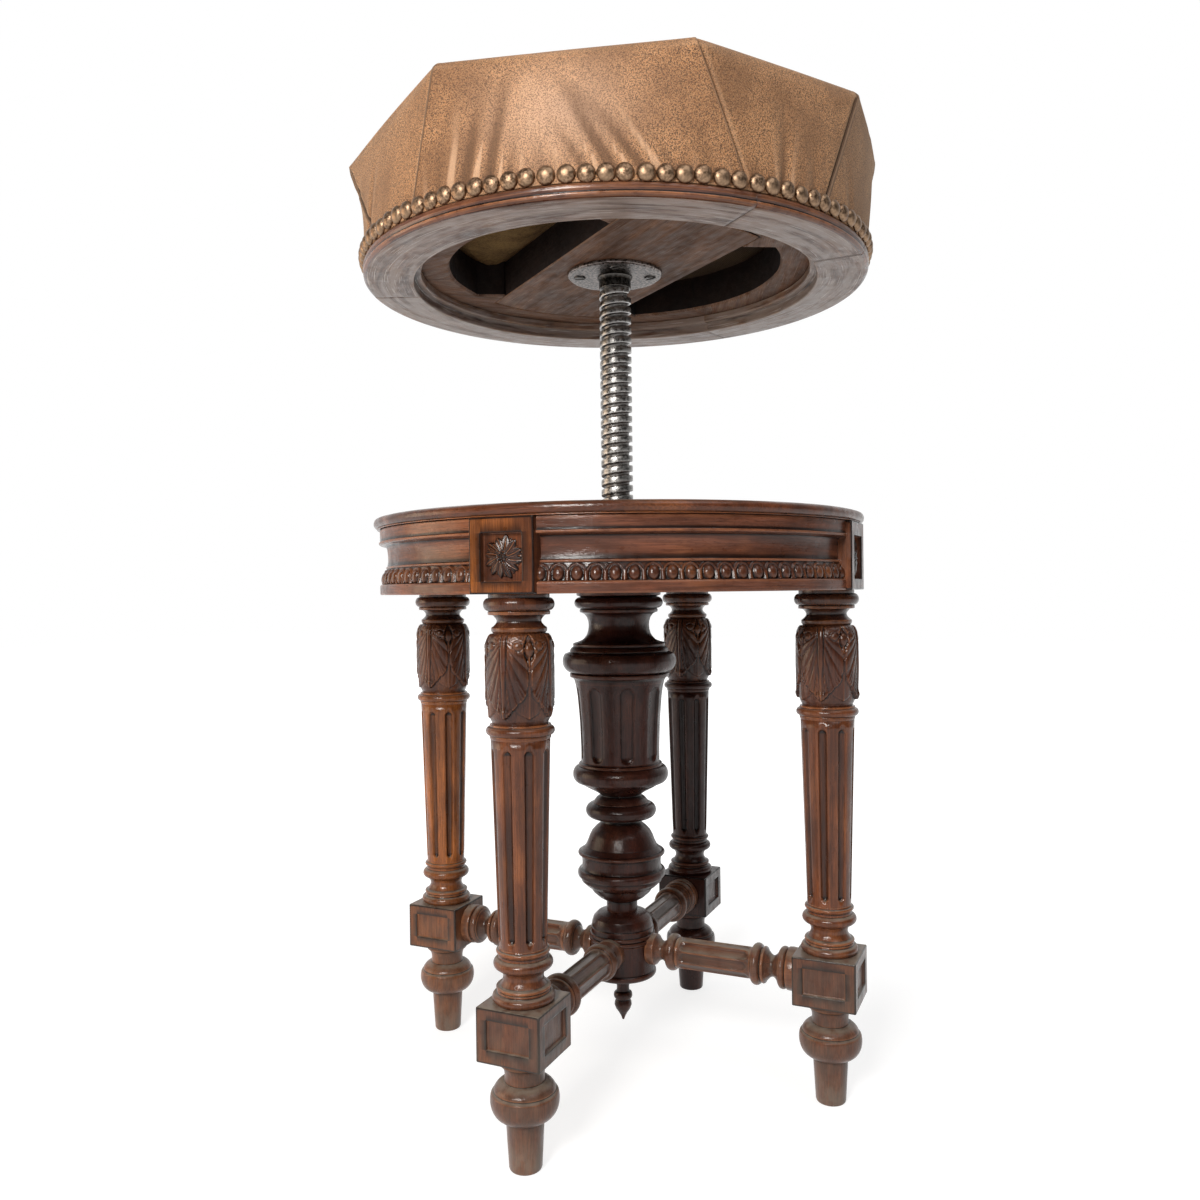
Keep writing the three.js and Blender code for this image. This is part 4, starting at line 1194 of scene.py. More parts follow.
# %% [markdown]
# The screw has a square thread. On a grid of straight rows a helix would be a staircase, so the
# grid itself is wound: each column is lifted by its share of the pitch, and the last column meets
# the first one a whole turn higher up. The crests of an old screw are rounded by wear.
# %% Screw
spindle_low, spindle_high = node_box("screw_spindle")
THREAD_PITCH = 7.0
THREAD = {"crest": 11.25, "root": 8.8, "land": 4.5}
THREAD_TOP = 551.0


def thread_section():
    """One pitch of the thread in radius and height: root, flank, rounded crest and flank"""
    crest, root, land = THREAD["crest"], THREAD["root"], THREAD["land"]
    gap = THREAD_PITCH - land
    section = [
        [root, 0.0], [root, gap / 2], [root + 0.25, gap - 0.25], [crest - 0.5, gap],
        [crest - 0.12, gap + 0.2], [crest, gap + 0.6], [crest, gap + land / 2],
        [crest, THREAD_PITCH - 0.6], [crest - 0.12, THREAD_PITCH - 0.2], [crest - 0.5, THREAD_PITCH],
        [root + 0.25, THREAD_PITCH + 0.12],
    ]
    return np.array(section)


def thread_shape(columns=56):
    section = thread_section()
    turns = int((THREAD_TOP - spindle_low[2]) / THREAD_PITCH) - 1
    per_turn = len(section)
    rows = per_turn * (turns + 1)
    row = np.arange(rows)
    radius = section[row % per_turn, 0][:, None]
    height = (section[row % per_turn, 1] + THREAD_PITCH * (row // per_turn))[:, None]
    share = (np.arange(columns) / columns)[None, :]
    angle = share * FULL_TURN
    z = spindle_low[2] + height + THREAD_PITCH * share
    points = np.stack([radius * np.cos(angle), radius * np.sin(angle), z], -1).reshape(-1, 3)
    faces = []
    for r in range(rows - 1):
        base, above = r * columns, (r + 1) * columns
        faces += [[base + c, base + c + 1, above + c + 1, above + c] for c in range(columns - 1)]
        if r + 1 + per_turn < rows:
            last, wrap = columns - 1, (r + per_turn) * columns
            faces.append([base + last, wrap, wrap + columns, above + last])
    foot = list(range(columns)) + [r * columns for r in range(per_turn, 0, -1)]
    head = [(rows - per_turn - 1 + k) * columns + columns - 1 for k in range(per_turn + 1)]
    top = list(range((rows - 1) * columns, rows * columns))
    faces += [foot[::-1], top + head[::-1][1:]]
    return points, faces


shank_profile = [
    [0.2, THREAD_TOP - 12], [THREAD["root"], THREAD_TOP - 12], [THREAD["root"], THREAD_TOP + 0.6],
    [8.3, THREAD_TOP + 1], [8.3, spindle_high[2]], [0.2, spindle_high[2]],
]
screw_shape = together(thread_shape(), turned(eased(shank_profile), 64))
spindle = make_piece(
    "square_thread_screw", screw_shape, screw_iron, "seat", ["screw_spindle"], same_place,
    sharp=50, spread=0,
)
print("screw faces:", len(spindle.data.polygons))

# %% [markdown]
# The plain collar at the top of the thread, the round flange with its slotted screws and, down in
# the board, the nut: simple turnings, whose small rounded edges do the work. A slotted head is a
# low disc with two half-moons standing on it, which leaves a true slot between them.
# %% Collar, flange and nut
SHANK_HOLE = 8.6
HEAD_RADIUS = 4.2
HEAD_DEPTH = 2.2
SLOT_WIDTH, SLOT_DEPTH = 1.5, 1.2


def half_moon(side, steps=22):
    start = math.asin(SLOT_WIDTH / 2 / HEAD_RADIUS)
    arc = np.linspace(start, math.pi - start, steps) + side
    outline = np.stack([np.cos(arc), np.sin(arc)], -1) * HEAD_RADIUS
    centre = outline.mean(0)
    rings = []
    for shrink, height in ((1, -SLOT_DEPTH - 0.2), (1, -0.5), (0.97, -0.22), (0.85, 0), (0.4, 0.12)):
        rings.append(np.column_stack([centre + (outline - centre) * shrink, np.full(steps, height)]))
    faces = grid_faces(len(rings), steps)
    last = (len(rings) - 1) * steps
    faces += [list(range(steps))[::-1], list(range(last, last + steps))]
    return np.concatenate(rings), faces


def slotted_head():
    """A countersunk head facing +Z, its face at zero, its slot along X"""
    stub = [
        [0.2, -HEAD_DEPTH], [HEAD_RADIUS - 1.4, -HEAD_DEPTH], [HEAD_RADIUS - 0.05, -SLOT_DEPTH],
        [0.2, -SLOT_DEPTH],
    ]
    return together(turned(np.array(stub), 36), half_moon(0), half_moon(math.pi))


def make_iron(name, shape, material, body, replaced):
    make_piece(name, shape, material, body, [replaced], same_place, sharp=40, spread=1)


def screw_heads(part, face, up, slots):
    """The heads of a plate's screws; each slot has its own turn in degrees"""
    flip = Matrix.Identity(4) if up else Matrix.Rotation(math.pi, 4, "X")
    for number, slot_turn in enumerate(slots, 1):
        replaced = f"{part}_wood_screw_{number}"
        low, high = node_box(replaced)
        centre = ((low[0] + high[0]) / 2, (low[1] + high[1]) / 2, face)
        place = Matrix.Translation(centre) @ flip @ Matrix.Rotation(math.radians(slot_turn), 4, "Z")
        shape = moved(slotted_head(), place)
        make_iron(f"{part}_screw_{number}", shape, head_iron, "base" if up else "seat", replaced)


def hammered(angle, height):
    """The uneven edge of a plate made by hand"""
    return 0.25 * np.sin(5 * angle + 1) + 0.15 * np.sin(13 * angle)


collar_low, collar_high = (corner[2] for corner in node_box("screw_collar"))
collar_profile = [
    [SHANK_HOLE, collar_low], [11.0, collar_low], [11.3, collar_low + 0.5], [11.3, collar_high - 2.2],
    [11.7, collar_high - 1.4], [12.6, collar_high], [SHANK_HOLE, collar_high],
]
collar_shape = turned(eased(collar_profile, 0.25, True), 64, ring=True)
make_iron("plain_collar", collar_shape, head_iron, "screw_carrier", "screw_collar")

flange_low, flange_high = node_box("flange_plate")
FLANGE_RADIUS = (flange_high[0] - flange_low[0]) / 2
FLANGE_EDGE = FLANGE_RADIUS - 0.3
flange_profile = [
    [SHANK_HOLE, flange_low[2]], [20, flange_low[2]], [FLANGE_RADIUS - 1.4, flange_low[2]],
    [FLANGE_EDGE, flange_low[2] + 0.9], [FLANGE_EDGE, flange_high[2]], [SHANK_HOLE, flange_high[2]],
]
flange_shape = turned(eased(flange_profile, 0.3, True), 96, hammered, ring=True)
make_iron("round_flange", flange_shape, plate_iron, "seat", "flange_plate")
screw_heads("flange", flange_low[2] - 0.9, False, (12, -8, 4, 20))

NUT_RADIUS = (nut_high[0] - nut_low[0]) / 2
NUT_FACE = nut_high[2]
nut_seat = board_high[2] + 0.3
nut_profile = [
    [11.6, nut_low[2]], [14.6, nut_low[2]], [NUT_BOSS, nut_low[2] + 0.6], [NUT_BOSS, nut_seat],
    [NUT_RADIUS, nut_seat], [NUT_RADIUS, NUT_FACE - 0.8], [NUT_RADIUS - 0.8, NUT_FACE], [20, NUT_FACE],
    [12.6, NUT_FACE], [11.6, NUT_FACE - 1.2],
]
nut_shape = turned(eased(nut_profile, 0.3, True), 96, ring=True)
make_iron("board_nut", nut_shape, plate_iron, "base", "screw_nut")
screw_heads("nut", NUT_FACE + 0.05, True, (30, 75, 10))
print("ironwork in place")

# %% [markdown]
# The seat's frame shows from below, as the photographer chose: a wide ring, worn grey on its
# underside, where its light tones also paint the light that the floor throws up, then two steps up
# to a flat lip, and a thick board across two openings. The ring is glued up from three curved
# pieces. Sanding on the lathe left streaks that run round it and break at the joints, and each
# joint shows as a hairline. The rim kept its polish: a finish of its own.
# %% Seat ring
ring_low, ring_high = node_box("seat_ring")
RING_JOINTS = [math.radians(a) for a in (80.4, 200.4, 320.4)]
HAIRLINE = math.radians(0.06)
STREAK_RADIUS = 160.0
UNDERSIDE_TOP = 553.0
RIM_START = 172.8
# partly painted light: the underside is lighter than the rim, for the light from the floor as well as for
# wear
worn_walnut = wood_finish(
    "worn_walnut", (0.06, 0.034, 0.026), (0.24, 0.145, 0.105), (0.42, 0.25, 0.15),
    roughness=0.42, wear=0.6, grey=0.75, coat=0.2, bumps=2.2,
)
rim_walnut = wood_finish(
    "rim_walnut", (0.036, 0.014, 0.01), (0.11, 0.041, 0.024), (0.3, 0.125, 0.055),
    roughness=0.3, wear=0.9,
)
ring_section = [
    [141.4, ring_low[2]], [150, ring_low[2] + 0.1], [162, ring_low[2] + 0.3], [172.6, 551.2],
    [173.8, 551.6], [174.7, 552.6], [174.9, 553.8], [174.2, 554.4], [174.4, 555.0], [175.0, 556.2],
    [174.9, 557.8], [174.4, 558.8], [173.4, 559.4], [170.7, 559.5], [170.7, ring_high[2]],
    [135.9, ring_high[2]], [135.8, 558.6], [136.3, 557.4], [140.6, 557.0], [141.0, 556.4],
    [140.9, 551.6],
]


def bearing_of(points):
    """Direction of each point round the axis, from zero to a full turn"""
    return np.arctan2(points[:, 1], points[:, 0]) % FULL_TURN


def joint_angles(count):
    """Even directions, with three close ones at each joint so that a hairline can sink there"""
    even = np.arange(count) * FULL_TURN / count
    near = [joint + math.radians(step) for joint in RING_JOINTS for step in (-0.14, 0, 0.14)]
    clear = [a for a in even if min(abs(a - joint) for joint in RING_JOINTS) > math.radians(0.5)]
    return np.array(sorted(clear + near))


def joint_gap(angle):
    """1 in the hairline of a joint, 0 beside it"""
    return sum(np.exp(-(((angle - joint) / HAIRLINE) ** 2)) for joint in RING_JOINTS)


def joint_relief(angle, height):
    """The hairlines as a change of radius"""
    return -0.3 * joint_gap(angle) + 0 * height


def ring_shape():
    section = filled_in(eased(ring_section, 0.3, closed=True), 4.0)
    points, faces = turned(section, joint_angles(300), joint_relief, ring=True)
    under = points[:, 2] < UNDERSIDE_TOP
    points[under, 2] += 0.35 * joint_gap(bearing_of(points))[under]
    return points, faces


def segment_of(points):
    """Which of the ring's three curved pieces each point belongs to"""
    return np.searchsorted(RING_JOINTS, bearing_of(points)) % len(RING_JOINTS)


def turned_grain(points):
    """Streaks round the axis, broken at each joint, as sanding on the lathe leaves them"""
    along = bearing_of(points) * STREAK_RADIUS + 400 * segment_of(points)
    return np.stack([along, np.hypot(points[:, 0], points[:, 1]), points[:, 2]], -1)


seat_ring = make_piece(
    "turned_seat_ring", ring_shape(), worn_walnut, "seat", ["seat_ring"], turned_grain
)
seat_ring.data.materials.append(rim_walnut)
for face in seat_ring.data.polygons:
    out = math.hypot(face.center.x, face.center.y) / MM
    face.material_index = int(out > RIM_START)
print("seat ring faces:", len(seat_ring.data.polygons))

# %% [markdown]
# Above the ring, the hoop and the cross board were never polished: they are dry brown wood with
# saw marks. Their upright faces get a near-black finish that paints the shade inside the seat. The
# hoop is a ring whose inner side is pushed out to the openings. The board is an outline with two
# round ends, pushed up to its thickness; its long edges are eased so that they catch the light from
# below.
# %% Hoop and cross board
hoop_low, hoop_high = node_box("seat_hoop")
HOOP_RADIUS = hoop_high[0] - 0.2
LIP_RADIUS = 116.3
BAR_ANGLE = math.radians(141.5)
BAR_HALF = 49.0
SLOT_HALF = BAR_HALF + 0.3
SHOULDER = (85.0, SLOT_HALF)  # inner corner of each shoulder, along and across the board
SHOULDER_END = math.radians(36.4)
SHOULDER_TURNS = [math.asin(SLOT_HALF / LIP_RADIUS), math.atan2(SHOULDER[1], SHOULDER[0]), SHOULDER_END]
inner_wood = wood_finish(
    "dry_wood", (0.06, 0.028, 0.016), (0.2, 0.097, 0.052), (0.34, 0.175, 0.09),
    roughness=0.6, wear=0.6, grey=0.2, coat=0.0, bumps=2.2,
)
# painted shade: near-black wood for the upright faces inside the seat, where the shade falls
unbleached_wood = wood_finish(
    "unbleached_wood", (0.005, 0.003, 0.0025), (0.014, 0.007, 0.005), (0.04, 0.02, 0.012),
    roughness=0.7, wear=0.3, coat=0.0, bumps=1.6,
)
hoop_section = [
    [LIP_RADIUS + 1.6, hoop_low[2]], [HOOP_RADIUS, hoop_low[2]], [HOOP_RADIUS, hoop_high[2] - 4],
    [hoop_high[0] - 4, hoop_high[2]], [LIP_RADIUS, hoop_high[2]], [LIP_RADIUS, hoop_low[2] + 1.6],
]


def opening_radius(angle):
    """Distance from the axis to the hoop's inner outline, in each direction"""
    turn = abs((angle - BAR_ANGLE + math.pi / 2) % math.pi - math.pi / 2)
    side = SLOT_HALF / np.maximum(np.sin(turn), 0.3)
    end = LIP_RADIUS * np.array([math.cos(SHOULDER_END), math.sin(SHOULDER_END)])
    run = end - SHOULDER
    offset = SHOULDER[0] * run[1] - SHOULDER[1] * run[0]
    across = offset / (np.cos(turn) * run[1] - np.sin(turn) * run[0])
    wavy = LIP_RADIUS + 0.25 * np.sin(7 * angle + 0.6) + 0.15 * np.sin(17 * angle)
    stretches = [turn < limit for limit in SHOULDER_TURNS]
    return np.select(stretches, [np.full_like(turn, LIP_RADIUS), side, across], wavy)


def hoop_shape():
    section = filled_in(eased(hoop_section, 0.5, closed=True), 9.0)
    inner = section[:, 0, None] < LIP_RADIUS + 3
    marks = [np.arange(240) * FULL_TURN / 240]
    for half_turn in (0, math.pi):
        for side in (-1, 1):
            for first, last in zip(SHOULDER_TURNS[:-1], SHOULDER_TURNS[1:]):
                marks.append(BAR_ANGLE + half_turn + side * np.linspace(first, last, 6))
    angles = np.unique(np.round(np.concatenate(marks) % FULL_TURN, 5))

    def opened(angle, height):
        return np.where(inner, opening_radius(angle) - LIP_RADIUS, 0)

    return turned(section, angles, opened, ring=True)


def segment_grain(points):
    """Straight fibres in each curved piece of a ring, along the chord of its middle"""
    segment = segment_of(points)
    middle = np.array(RING_JOINTS)[segment] - math.pi / len(RING_JOINTS)
    along = points[:, 1] * np.cos(middle) - points[:, 0] * np.sin(middle)
    across = points[:, 0] * np.cos(middle) + points[:, 1] * np.sin(middle)
    return np.stack([along + 400 * segment, across, points[:, 2]], -1)


def darken_walls(piece):
    """Gives a piece's upright faces a near-black finish that paints the shade on them"""
    piece.data.materials.append(unbleached_wood)
    for face in piece.data.polygons:
        face.material_index = int(abs(face.normal.z) < 0.3)


hoop = make_piece(
    "seat_frame_hoop", hoop_shape(), inner_wood, "seat", ["seat_hoop"], segment_grain
)
darken_walls(hoop)


def slab(outline, low, high, ease=0.8):
    """An outline, anticlockwise, pushed up to a thickness, with its long edges eased"""
    after = np.roll(outline, -1, 0) - outline
    after /= np.linalg.norm(after, axis=1, keepdims=True)
    before = np.roll(after, 1, 0)
    inward = np.stack([-(after + before)[:, 1], (after + before)[:, 0]], -1)
    inward /= np.maximum((inward * np.stack([-after[:, 1], after[:, 0]], -1)).sum(1, keepdims=True), 0.3)
    count = len(outline)
    rings = []
    for inset, height in ((2.4, 0), (0.9, 0), (0.3, 0.3), (0, 0.9)):
        level = np.full(count, low + height * ease)
        rings.append(np.column_stack([outline + inward * inset * ease, level]))
    top = [ring * [1, 1, -1] + [0, 0, low + high] for ring in rings[::-1]]
    points = np.concatenate(rings + top)
    faces = grid_faces(2 * len(rings), count)
    faces += [list(range(count))[::-1], list(range(len(points) - count, len(points)))]
    return points, faces


def board_outline():
    """The board from above: two round ends, each joined to the other by a straight side"""
    reach = LIP_RADIUS - 0.9
    spread = math.asin(BAR_HALF / reach)
    ends = []
    for half_turn in (0, math.pi):
        arc = np.linspace(-spread, spread, 40) + half_turn
        ends.append(np.stack([np.cos(arc), np.sin(arc)], -1) * reach)
    share = np.linspace(0, 1, 30)[1:-1, None]
    stretches = []
    for end, other in (ends, ends[::-1]):
        stretches += [end, end[-1] + (other[0] - end[-1]) * share]
    cosine, sine = math.cos(BAR_ANGLE), math.sin(BAR_ANGLE)
    return np.concatenate(stretches) @ np.array([[cosine, -sine], [sine, cosine]]).T


def bar_grain(points):
    """Fibres along the cross board"""
    along = points[:, 0] * math.cos(BAR_ANGLE) + points[:, 1] * math.sin(BAR_ANGLE)
    across = points[:, 1] * math.cos(BAR_ANGLE) - points[:, 0] * math.sin(BAR_ANGLE)
    return np.stack([along, across, points[:, 2]], -1)


cross_board_shape = slab(board_outline(), hoop_low[2], hoop_high[2])
cross_board = make_piece(
    "thick_cross_board", cross_board_shape, inner_wood, "seat", ["seat_cross_board"],
    bar_grain,
)
darken_walls(cross_board)
print("hoop and cross board in place")

# %% [markdown]
# A hessian canvas closes the top of the frame and sags a little into each opening under the
# stuffing. It is a disc of rings whose height follows the distance to the nearest wood. The weave
# is two crossed waves in the finish, at the pitch of real sacking, in tones kept dark, partly as
# painted shade inside the openings. A number on the mesh darkens its far half further, as painted
# shade.
# %% Canvas
canvas_low, canvas_high = node_box("seat_canvas")
CANVAS_SAG = 7.5


def hessian_finish():
    material, tree = new_material("hessian_weave")
    place = carried(tree, "grain", "Vector")
    threads = []
    for direction in ("X", "Y"):
        bands = {"bands_direction": direction}
        wave = node(tree, "TexWave", bands, Vector=place, Scale=0.22, Distortion=1.2, Detail=2.0)
        threads.append(wave.outputs["Fac"])
    weave = calculate(tree, "MAXIMUM", *threads)
    colour = blend_colours(tree, ramp(tree, weave, 0.2, 0.9), (0.032, 0.017, 0.007), (0.17, 0.1, 0.04))
    colour = tinted(tree, colour, noise(tree, place, 0.5, 6.0), 0.45, 0.62, 0.8, (0.045, 0.026, 0.012))
    colour = tinted(tree, colour, noise(tree, place, 0.04, 4.0), 0.4, 0.7, 0.4, (0.34, 0.22, 0.09))
    # painted shade: the far half of the canvas turns nearly black
    colour = blend_colours(tree, carried(tree, "soiled"), colour, (0.018, 0.01, 0.006))
    bump = node(tree, "Bump", Strength=0.6, Distance=0.0006, Height=weave).outputs[0]
    end_finish(tree, Base_Color=colour, Roughness=0.95, Normal=bump, Specular_IOR_Level=0.1)
    return material


def canvas_shape(rings=44, columns=160):
    radius = np.linspace(0.3, canvas_high[0] - 1, rings)[:, None]
    angle = (np.arange(columns) * FULL_TURN / columns)[None, :]
    x, y = radius * np.cos(angle), radius * np.sin(angle)
    across = abs(y * math.cos(BAR_ANGLE) - x * math.sin(BAR_ANGLE))
    room = np.maximum(np.minimum(across - BAR_HALF, opening_radius(angle) - radius), 0)
    sag = CANVAS_SAG * (1 - np.exp(-room / 9)) * (1 + 0.1 * np.sin(x / 9) * np.sin(y / 11))
    low = np.stack([x, y, canvas_low[2] - sag], -1).reshape(-1, 3)
    high = low + [0, 0, 1.0]
    count = rings * columns
    faces = [face[::-1] for face in grid_faces(rings, columns)]
    faces += [[v + count for v in face[::-1]] for face in faces]
    edge = (rings - 1) * columns + np.arange(columns)
    faces += np.stack([edge, np.roll(edge, -1), np.roll(edge, -1) + count, edge + count], -1).tolist()
    faces += [list(range(columns)), [v + count for v in range(columns)][::-1]]
    return np.concatenate([low, high]), faces


canvas = make_piece(
    "hessian_canvas", canvas_shape(), hessian_finish(), "seat", ["seat_canvas"], same_place
)
canvas_points = np.array([v.co for v in canvas.data.vertices]) / MM
# painted shade: a share that grows across the far half of the canvas
add_numbers(canvas.data, "soiled", np.clip(-bar_grain(canvas_points)[:, 1] / 60, 0, 0.85))
print("canvas sags into the openings")

# %% [markdown]
# The cover is the hardest piece. It is a box cushion with eight uneven sides: round where it is
# nailed, angular along its top edge, with a folded seam running down from each corner. The seams
# lean, so the sides are by turns wider at the nails and wider at the top. Every point of a side
# lies on a straight line from the top edge down to the nails, which is how stretched cloth runs.
# The outer skin has one column of points on each seam, packed closer near it.
# %% Cushion outline
CORNERS = (
    # each top corner's direction and reach, how many degrees its seam leans on its way down to the
    # nails, and how far the edge rises there
    (22.5, 185, 9, 1), (68, 182, -9, 0), (113, 181, 9, 0), (158, 181, -9, 0),
    (204.5, 188.5, 27, 3.5), (258.3, 179.5, -8, 0), (308, 182, 10, -3.5), (348.5, 182, -9, 0),
)
cover_low, cover_high = node_box("seat_cover")
NAIL_HEIGHT = 564.4
EDGE_HEIGHT = 636.5
NAILED_RADIUS = 173.9
SIDE_BULGE = 2.2
NAIL_COUNT = 100
EDGE_SAG = 1.5
TOP_INSETS = ((0.6, 638.8), (2.4, 640.6), (5.5, 642.2), (11, 643.8), (20, 645.6), (34, 647.6))
TOP_INSETS += ((55, 649.4), (85, 650.8), (120, 651.6), (150, 652.0), (172, 652.0))
PER_SIDE = 44


def seam_spacing(count):
    """Shares along one side of the cushion, packed towards both seams"""
    even = np.linspace(0, 1, count + 1)[:-1]
    return even - 0.13 * np.sin(FULL_TURN * even)


def cushion_columns():
    """For each column: its top point, its way to the nails, share of its side, lapping and rise"""
    rows = []
    for i, (angle, reach, lean, rise) in enumerate(CORNERS):
        next_angle, next_reach, next_lean, next_rise = CORNERS[(i + 1) % len(CORNERS)]
        a, b = math.radians(angle), math.radians(next_angle + (360 if next_angle < angle else 0))
        start = reach * np.array([math.cos(a), math.sin(a)])
        end = next_reach * np.array([math.cos(b), math.sin(b)])
        for t in seam_spacing(PER_SIDE):
            point = start + (end - start) * t
            out = point / np.linalg.norm(point)
            point = point + out * SIDE_BULGE * math.sin(math.pi * t)
            foot = a + math.radians(lean) + (b - a + math.radians(next_lean - lean)) * t
            lift = rise + (next_rise - rise) * t - EDGE_SAG * math.sin(math.pi * t)
            rows.append([*point, math.cos(foot), math.sin(foot), t, 1 if lean < next_lean else -1, lift])
    return np.array(rows)


cover_columns = cushion_columns()
print("cushion columns:", len(cover_columns))

# %% [markdown]
# The mesh is closed, because a cushion is: outside from the hem up over the crown to the middle,
# then inside from the middle of the flat underside back to the hem. Two numbers go with every
# point for later: how far it is from the nearest seam, and whether its side laps over its
# neighbours.
# %% Cushion mesh
SIDE_START = 567.4
TOP_REACH = 181
WIDTH_RING = 20  # the ring, counted from the hem, on which the width of each side is measured
HEM = (cover_low[2], 561.2, 562.6, NAIL_HEIGHT, SIDE_START)
INSIDE = ((0.001, 593.2), (0.4, 593.2), (0.8, 593.2), (0.955, 593.0), (0.975, 592.0))
INSIDE += ((0.9815, 588), (0.989, 572), (0.99, cover_low[2]))


def level_ring(flat, height):
    """A ring of points with one height, or one for each"""
    return np.column_stack([flat, np.broadcast_to(height, len(flat))])


def cushion_mesh():
    """Points, faces, and for each point its kind, its distance from a seam and its lapping"""
    top, foot = cover_columns[:, 0:2], cover_columns[:, 2:4]
    share, over, lift = cover_columns[:, 4], cover_columns[:, 5], cover_columns[:, 6]
    nailed = foot * NAILED_RADIUS
    rings = [("hem", level_ring(nailed, height)) for height in HEM]
    for t in np.linspace(0, 1, 27)[1:]:
        belly = np.sin(math.pi * t) * np.sin(math.pi * share) ** 0.5
        flat = nailed + (top - nailed) * t + foot * belly[:, None]
        rings.append(("side", level_ring(flat, SIDE_START + (EDGE_HEIGHT + lift - SIDE_START) * t)))
    for inset, height in TOP_INSETS:
        flat = top * (1 - inset / TOP_REACH)
        rings.append(("top", level_ring(flat, height + lift * math.exp(-inset / 30))))
    rings.append(("top", level_ring(top * 0.001, cover_high[2])))
    rings += [("inside", level_ring(nailed * scale, height)) for scale, height in INSIDE]
    points = np.concatenate([ring for _, ring in rings])
    faces = grid_faces(len(rings), len(share), joined_up=True)
    kind = np.repeat([name for name, _ in rings], len(share))
    measured = rings[WIDTH_RING][1]
    spans = np.linalg.norm(measured - np.roll(measured, 1, 0), axis=1)
    spans[0] = spans[1]
    side_width = np.bincount(np.arange(len(share)) // PER_SIDE, spans).repeat(PER_SIDE)
    from_seam = np.tile(np.minimum(share, 1 - share) * side_width, len(rings))
    return points, faces, kind, from_seam, np.tile(over, len(rings))


cushion_points, cushion_faces, kind, from_seam, laps = cushion_mesh()
mesh = bpy.data.meshes.new("suede_cushion")
mesh.from_pydata((cushion_points * MM).tolist(), [], cushion_faces)
cushion = bpy.data.objects.new("suede_cushion", mesh)
bpy.context.scene.collection.objects.link(cushion)
print("cushion points:", len(cushion_points))

# %% [markdown]
# Now the cloth is stretched by simulation. The hem, the underside and the seams are pinned, a
# little pressure fills the cover as stuffing does, and the cloth along the nails is told that it is
# slightly too long, so it gathers into the soft folds that a real upholsterer leaves. Nothing may
# move further than a cap, which is smaller near the top, so a wild step can't spoil the shape.
# %% Cloth simulation
SIMULATION_FRAMES = 24
CAP_HEIGHTS = [600, 628, 640]
CAPS = [6.0, 3.0, 1.0]


def stretch_cover(piece):
    """Lets the cover settle, and says how far its points would have moved without the cap"""
    rest = np.array([v.co for v in piece.data.vertices])
    held = piece.vertex_groups.new(name="held")
    ease = piece.vertex_groups.new(name="ease")
    height = cushion_points[:, 2]
    for i in range(len(rest)):
        side = kind[i] == "side"
        if kind[i] in ("hem", "inside"):
            held.add([i], 1.0, "REPLACE")
        elif side and from_seam[i] < 0.8:
            held.add([i], 0.9, "REPLACE")
        if side:
            ease.add([i], float(np.clip((625 - height[i]) / 50, 0, 1)), "REPLACE")
    cloth = piece.modifiers.new("cloth", "CLOTH")
    settings = cloth.settings
    settings.quality = 6
    settings.mass = 0.3
    settings.tension_stiffness = settings.compression_stiffness = 30
    settings.shear_stiffness = 12
    settings.bending_stiffness = 1.2
    settings.vertex_group_mass = "held"
    settings.pin_stiffness = 1.0
    settings.use_pressure = True
    settings.uniform_pressure_force = 3.0
    settings.vertex_group_shrink = "ease"
    settings.shrink_min = 0.0
    settings.shrink_max = -0.05
    settings.effector_weights.gravity = 0
    cloth.collision_settings.use_collision = False
    cloth.point_cache.frame_end = SIMULATION_FRAMES
    for step in range(1, SIMULATION_FRAMES + 1):
        bpy.context.scene.frame_set(step)
    shaped = piece.evaluated_get(bpy.context.evaluated_depsgraph_get())
    after = np.array([v.co for v in shaped.data.vertices])
    shift = after - rest
    length = np.linalg.norm(shift, axis=1, keepdims=True)
    allowed = np.interp(height, CAP_HEIGHTS, CAPS)[:, None]
    shift *= np.minimum(1, allowed * MM / np.maximum(length, 1e-9))
    piece.modifiers.clear()
    piece.vertex_groups.clear()
    piece.data.vertices.foreach_set("co", (rest + shift).ravel())
    piece.data.update()
    bpy.context.scene.frame_set(1)
    return length.max() / MM


pull = round(stretch_cover(cushion), 1)
print("the cloth pulled by up to", pull, "mm, and was held to", CAPS[0], "mm")

# %% [markdown]
# The cover is a regular grid, so it can be made twice as fine in both directions by averaging, the
# way a subdivision surface does. The seams are then folded in: the side that laps over swells
# towards its seam and drops off sharply, and the side beneath dips under it. Doing this last keeps
# the fold crisp, because a simulation would have ironed it out.
# %% Seams and folds
def twice_as_fine(grid, around=False):
    """Rows between rows, each old row eased towards its neighbours"""
    before, after = np.roll(grid, 1, 0), np.roll(grid, -1, 0)
    eased_rows = 0.75 * grid + 0.125 * (before + after)
    between = 0.5 * (grid + after)
    if not around:
        eased_rows[0], eased_rows[-1] = grid[0], grid[-1]
    finer = np.stack([eased_rows, between], 1).reshape(-1, *grid.shape[1:])
    return finer if around else finer[:-1]


def refined(values, rows):
    """The cover's values, one row of them for each ring, made finer up and around"""
    grid = values.reshape(rows, len(cover_columns), -1)
    finer = twice_as_fine(grid)
    return twice_as_fine(finer.swapaxes(0, 1), around=True).swapaxes(0, 1).reshape(-1, grid.shape[2])


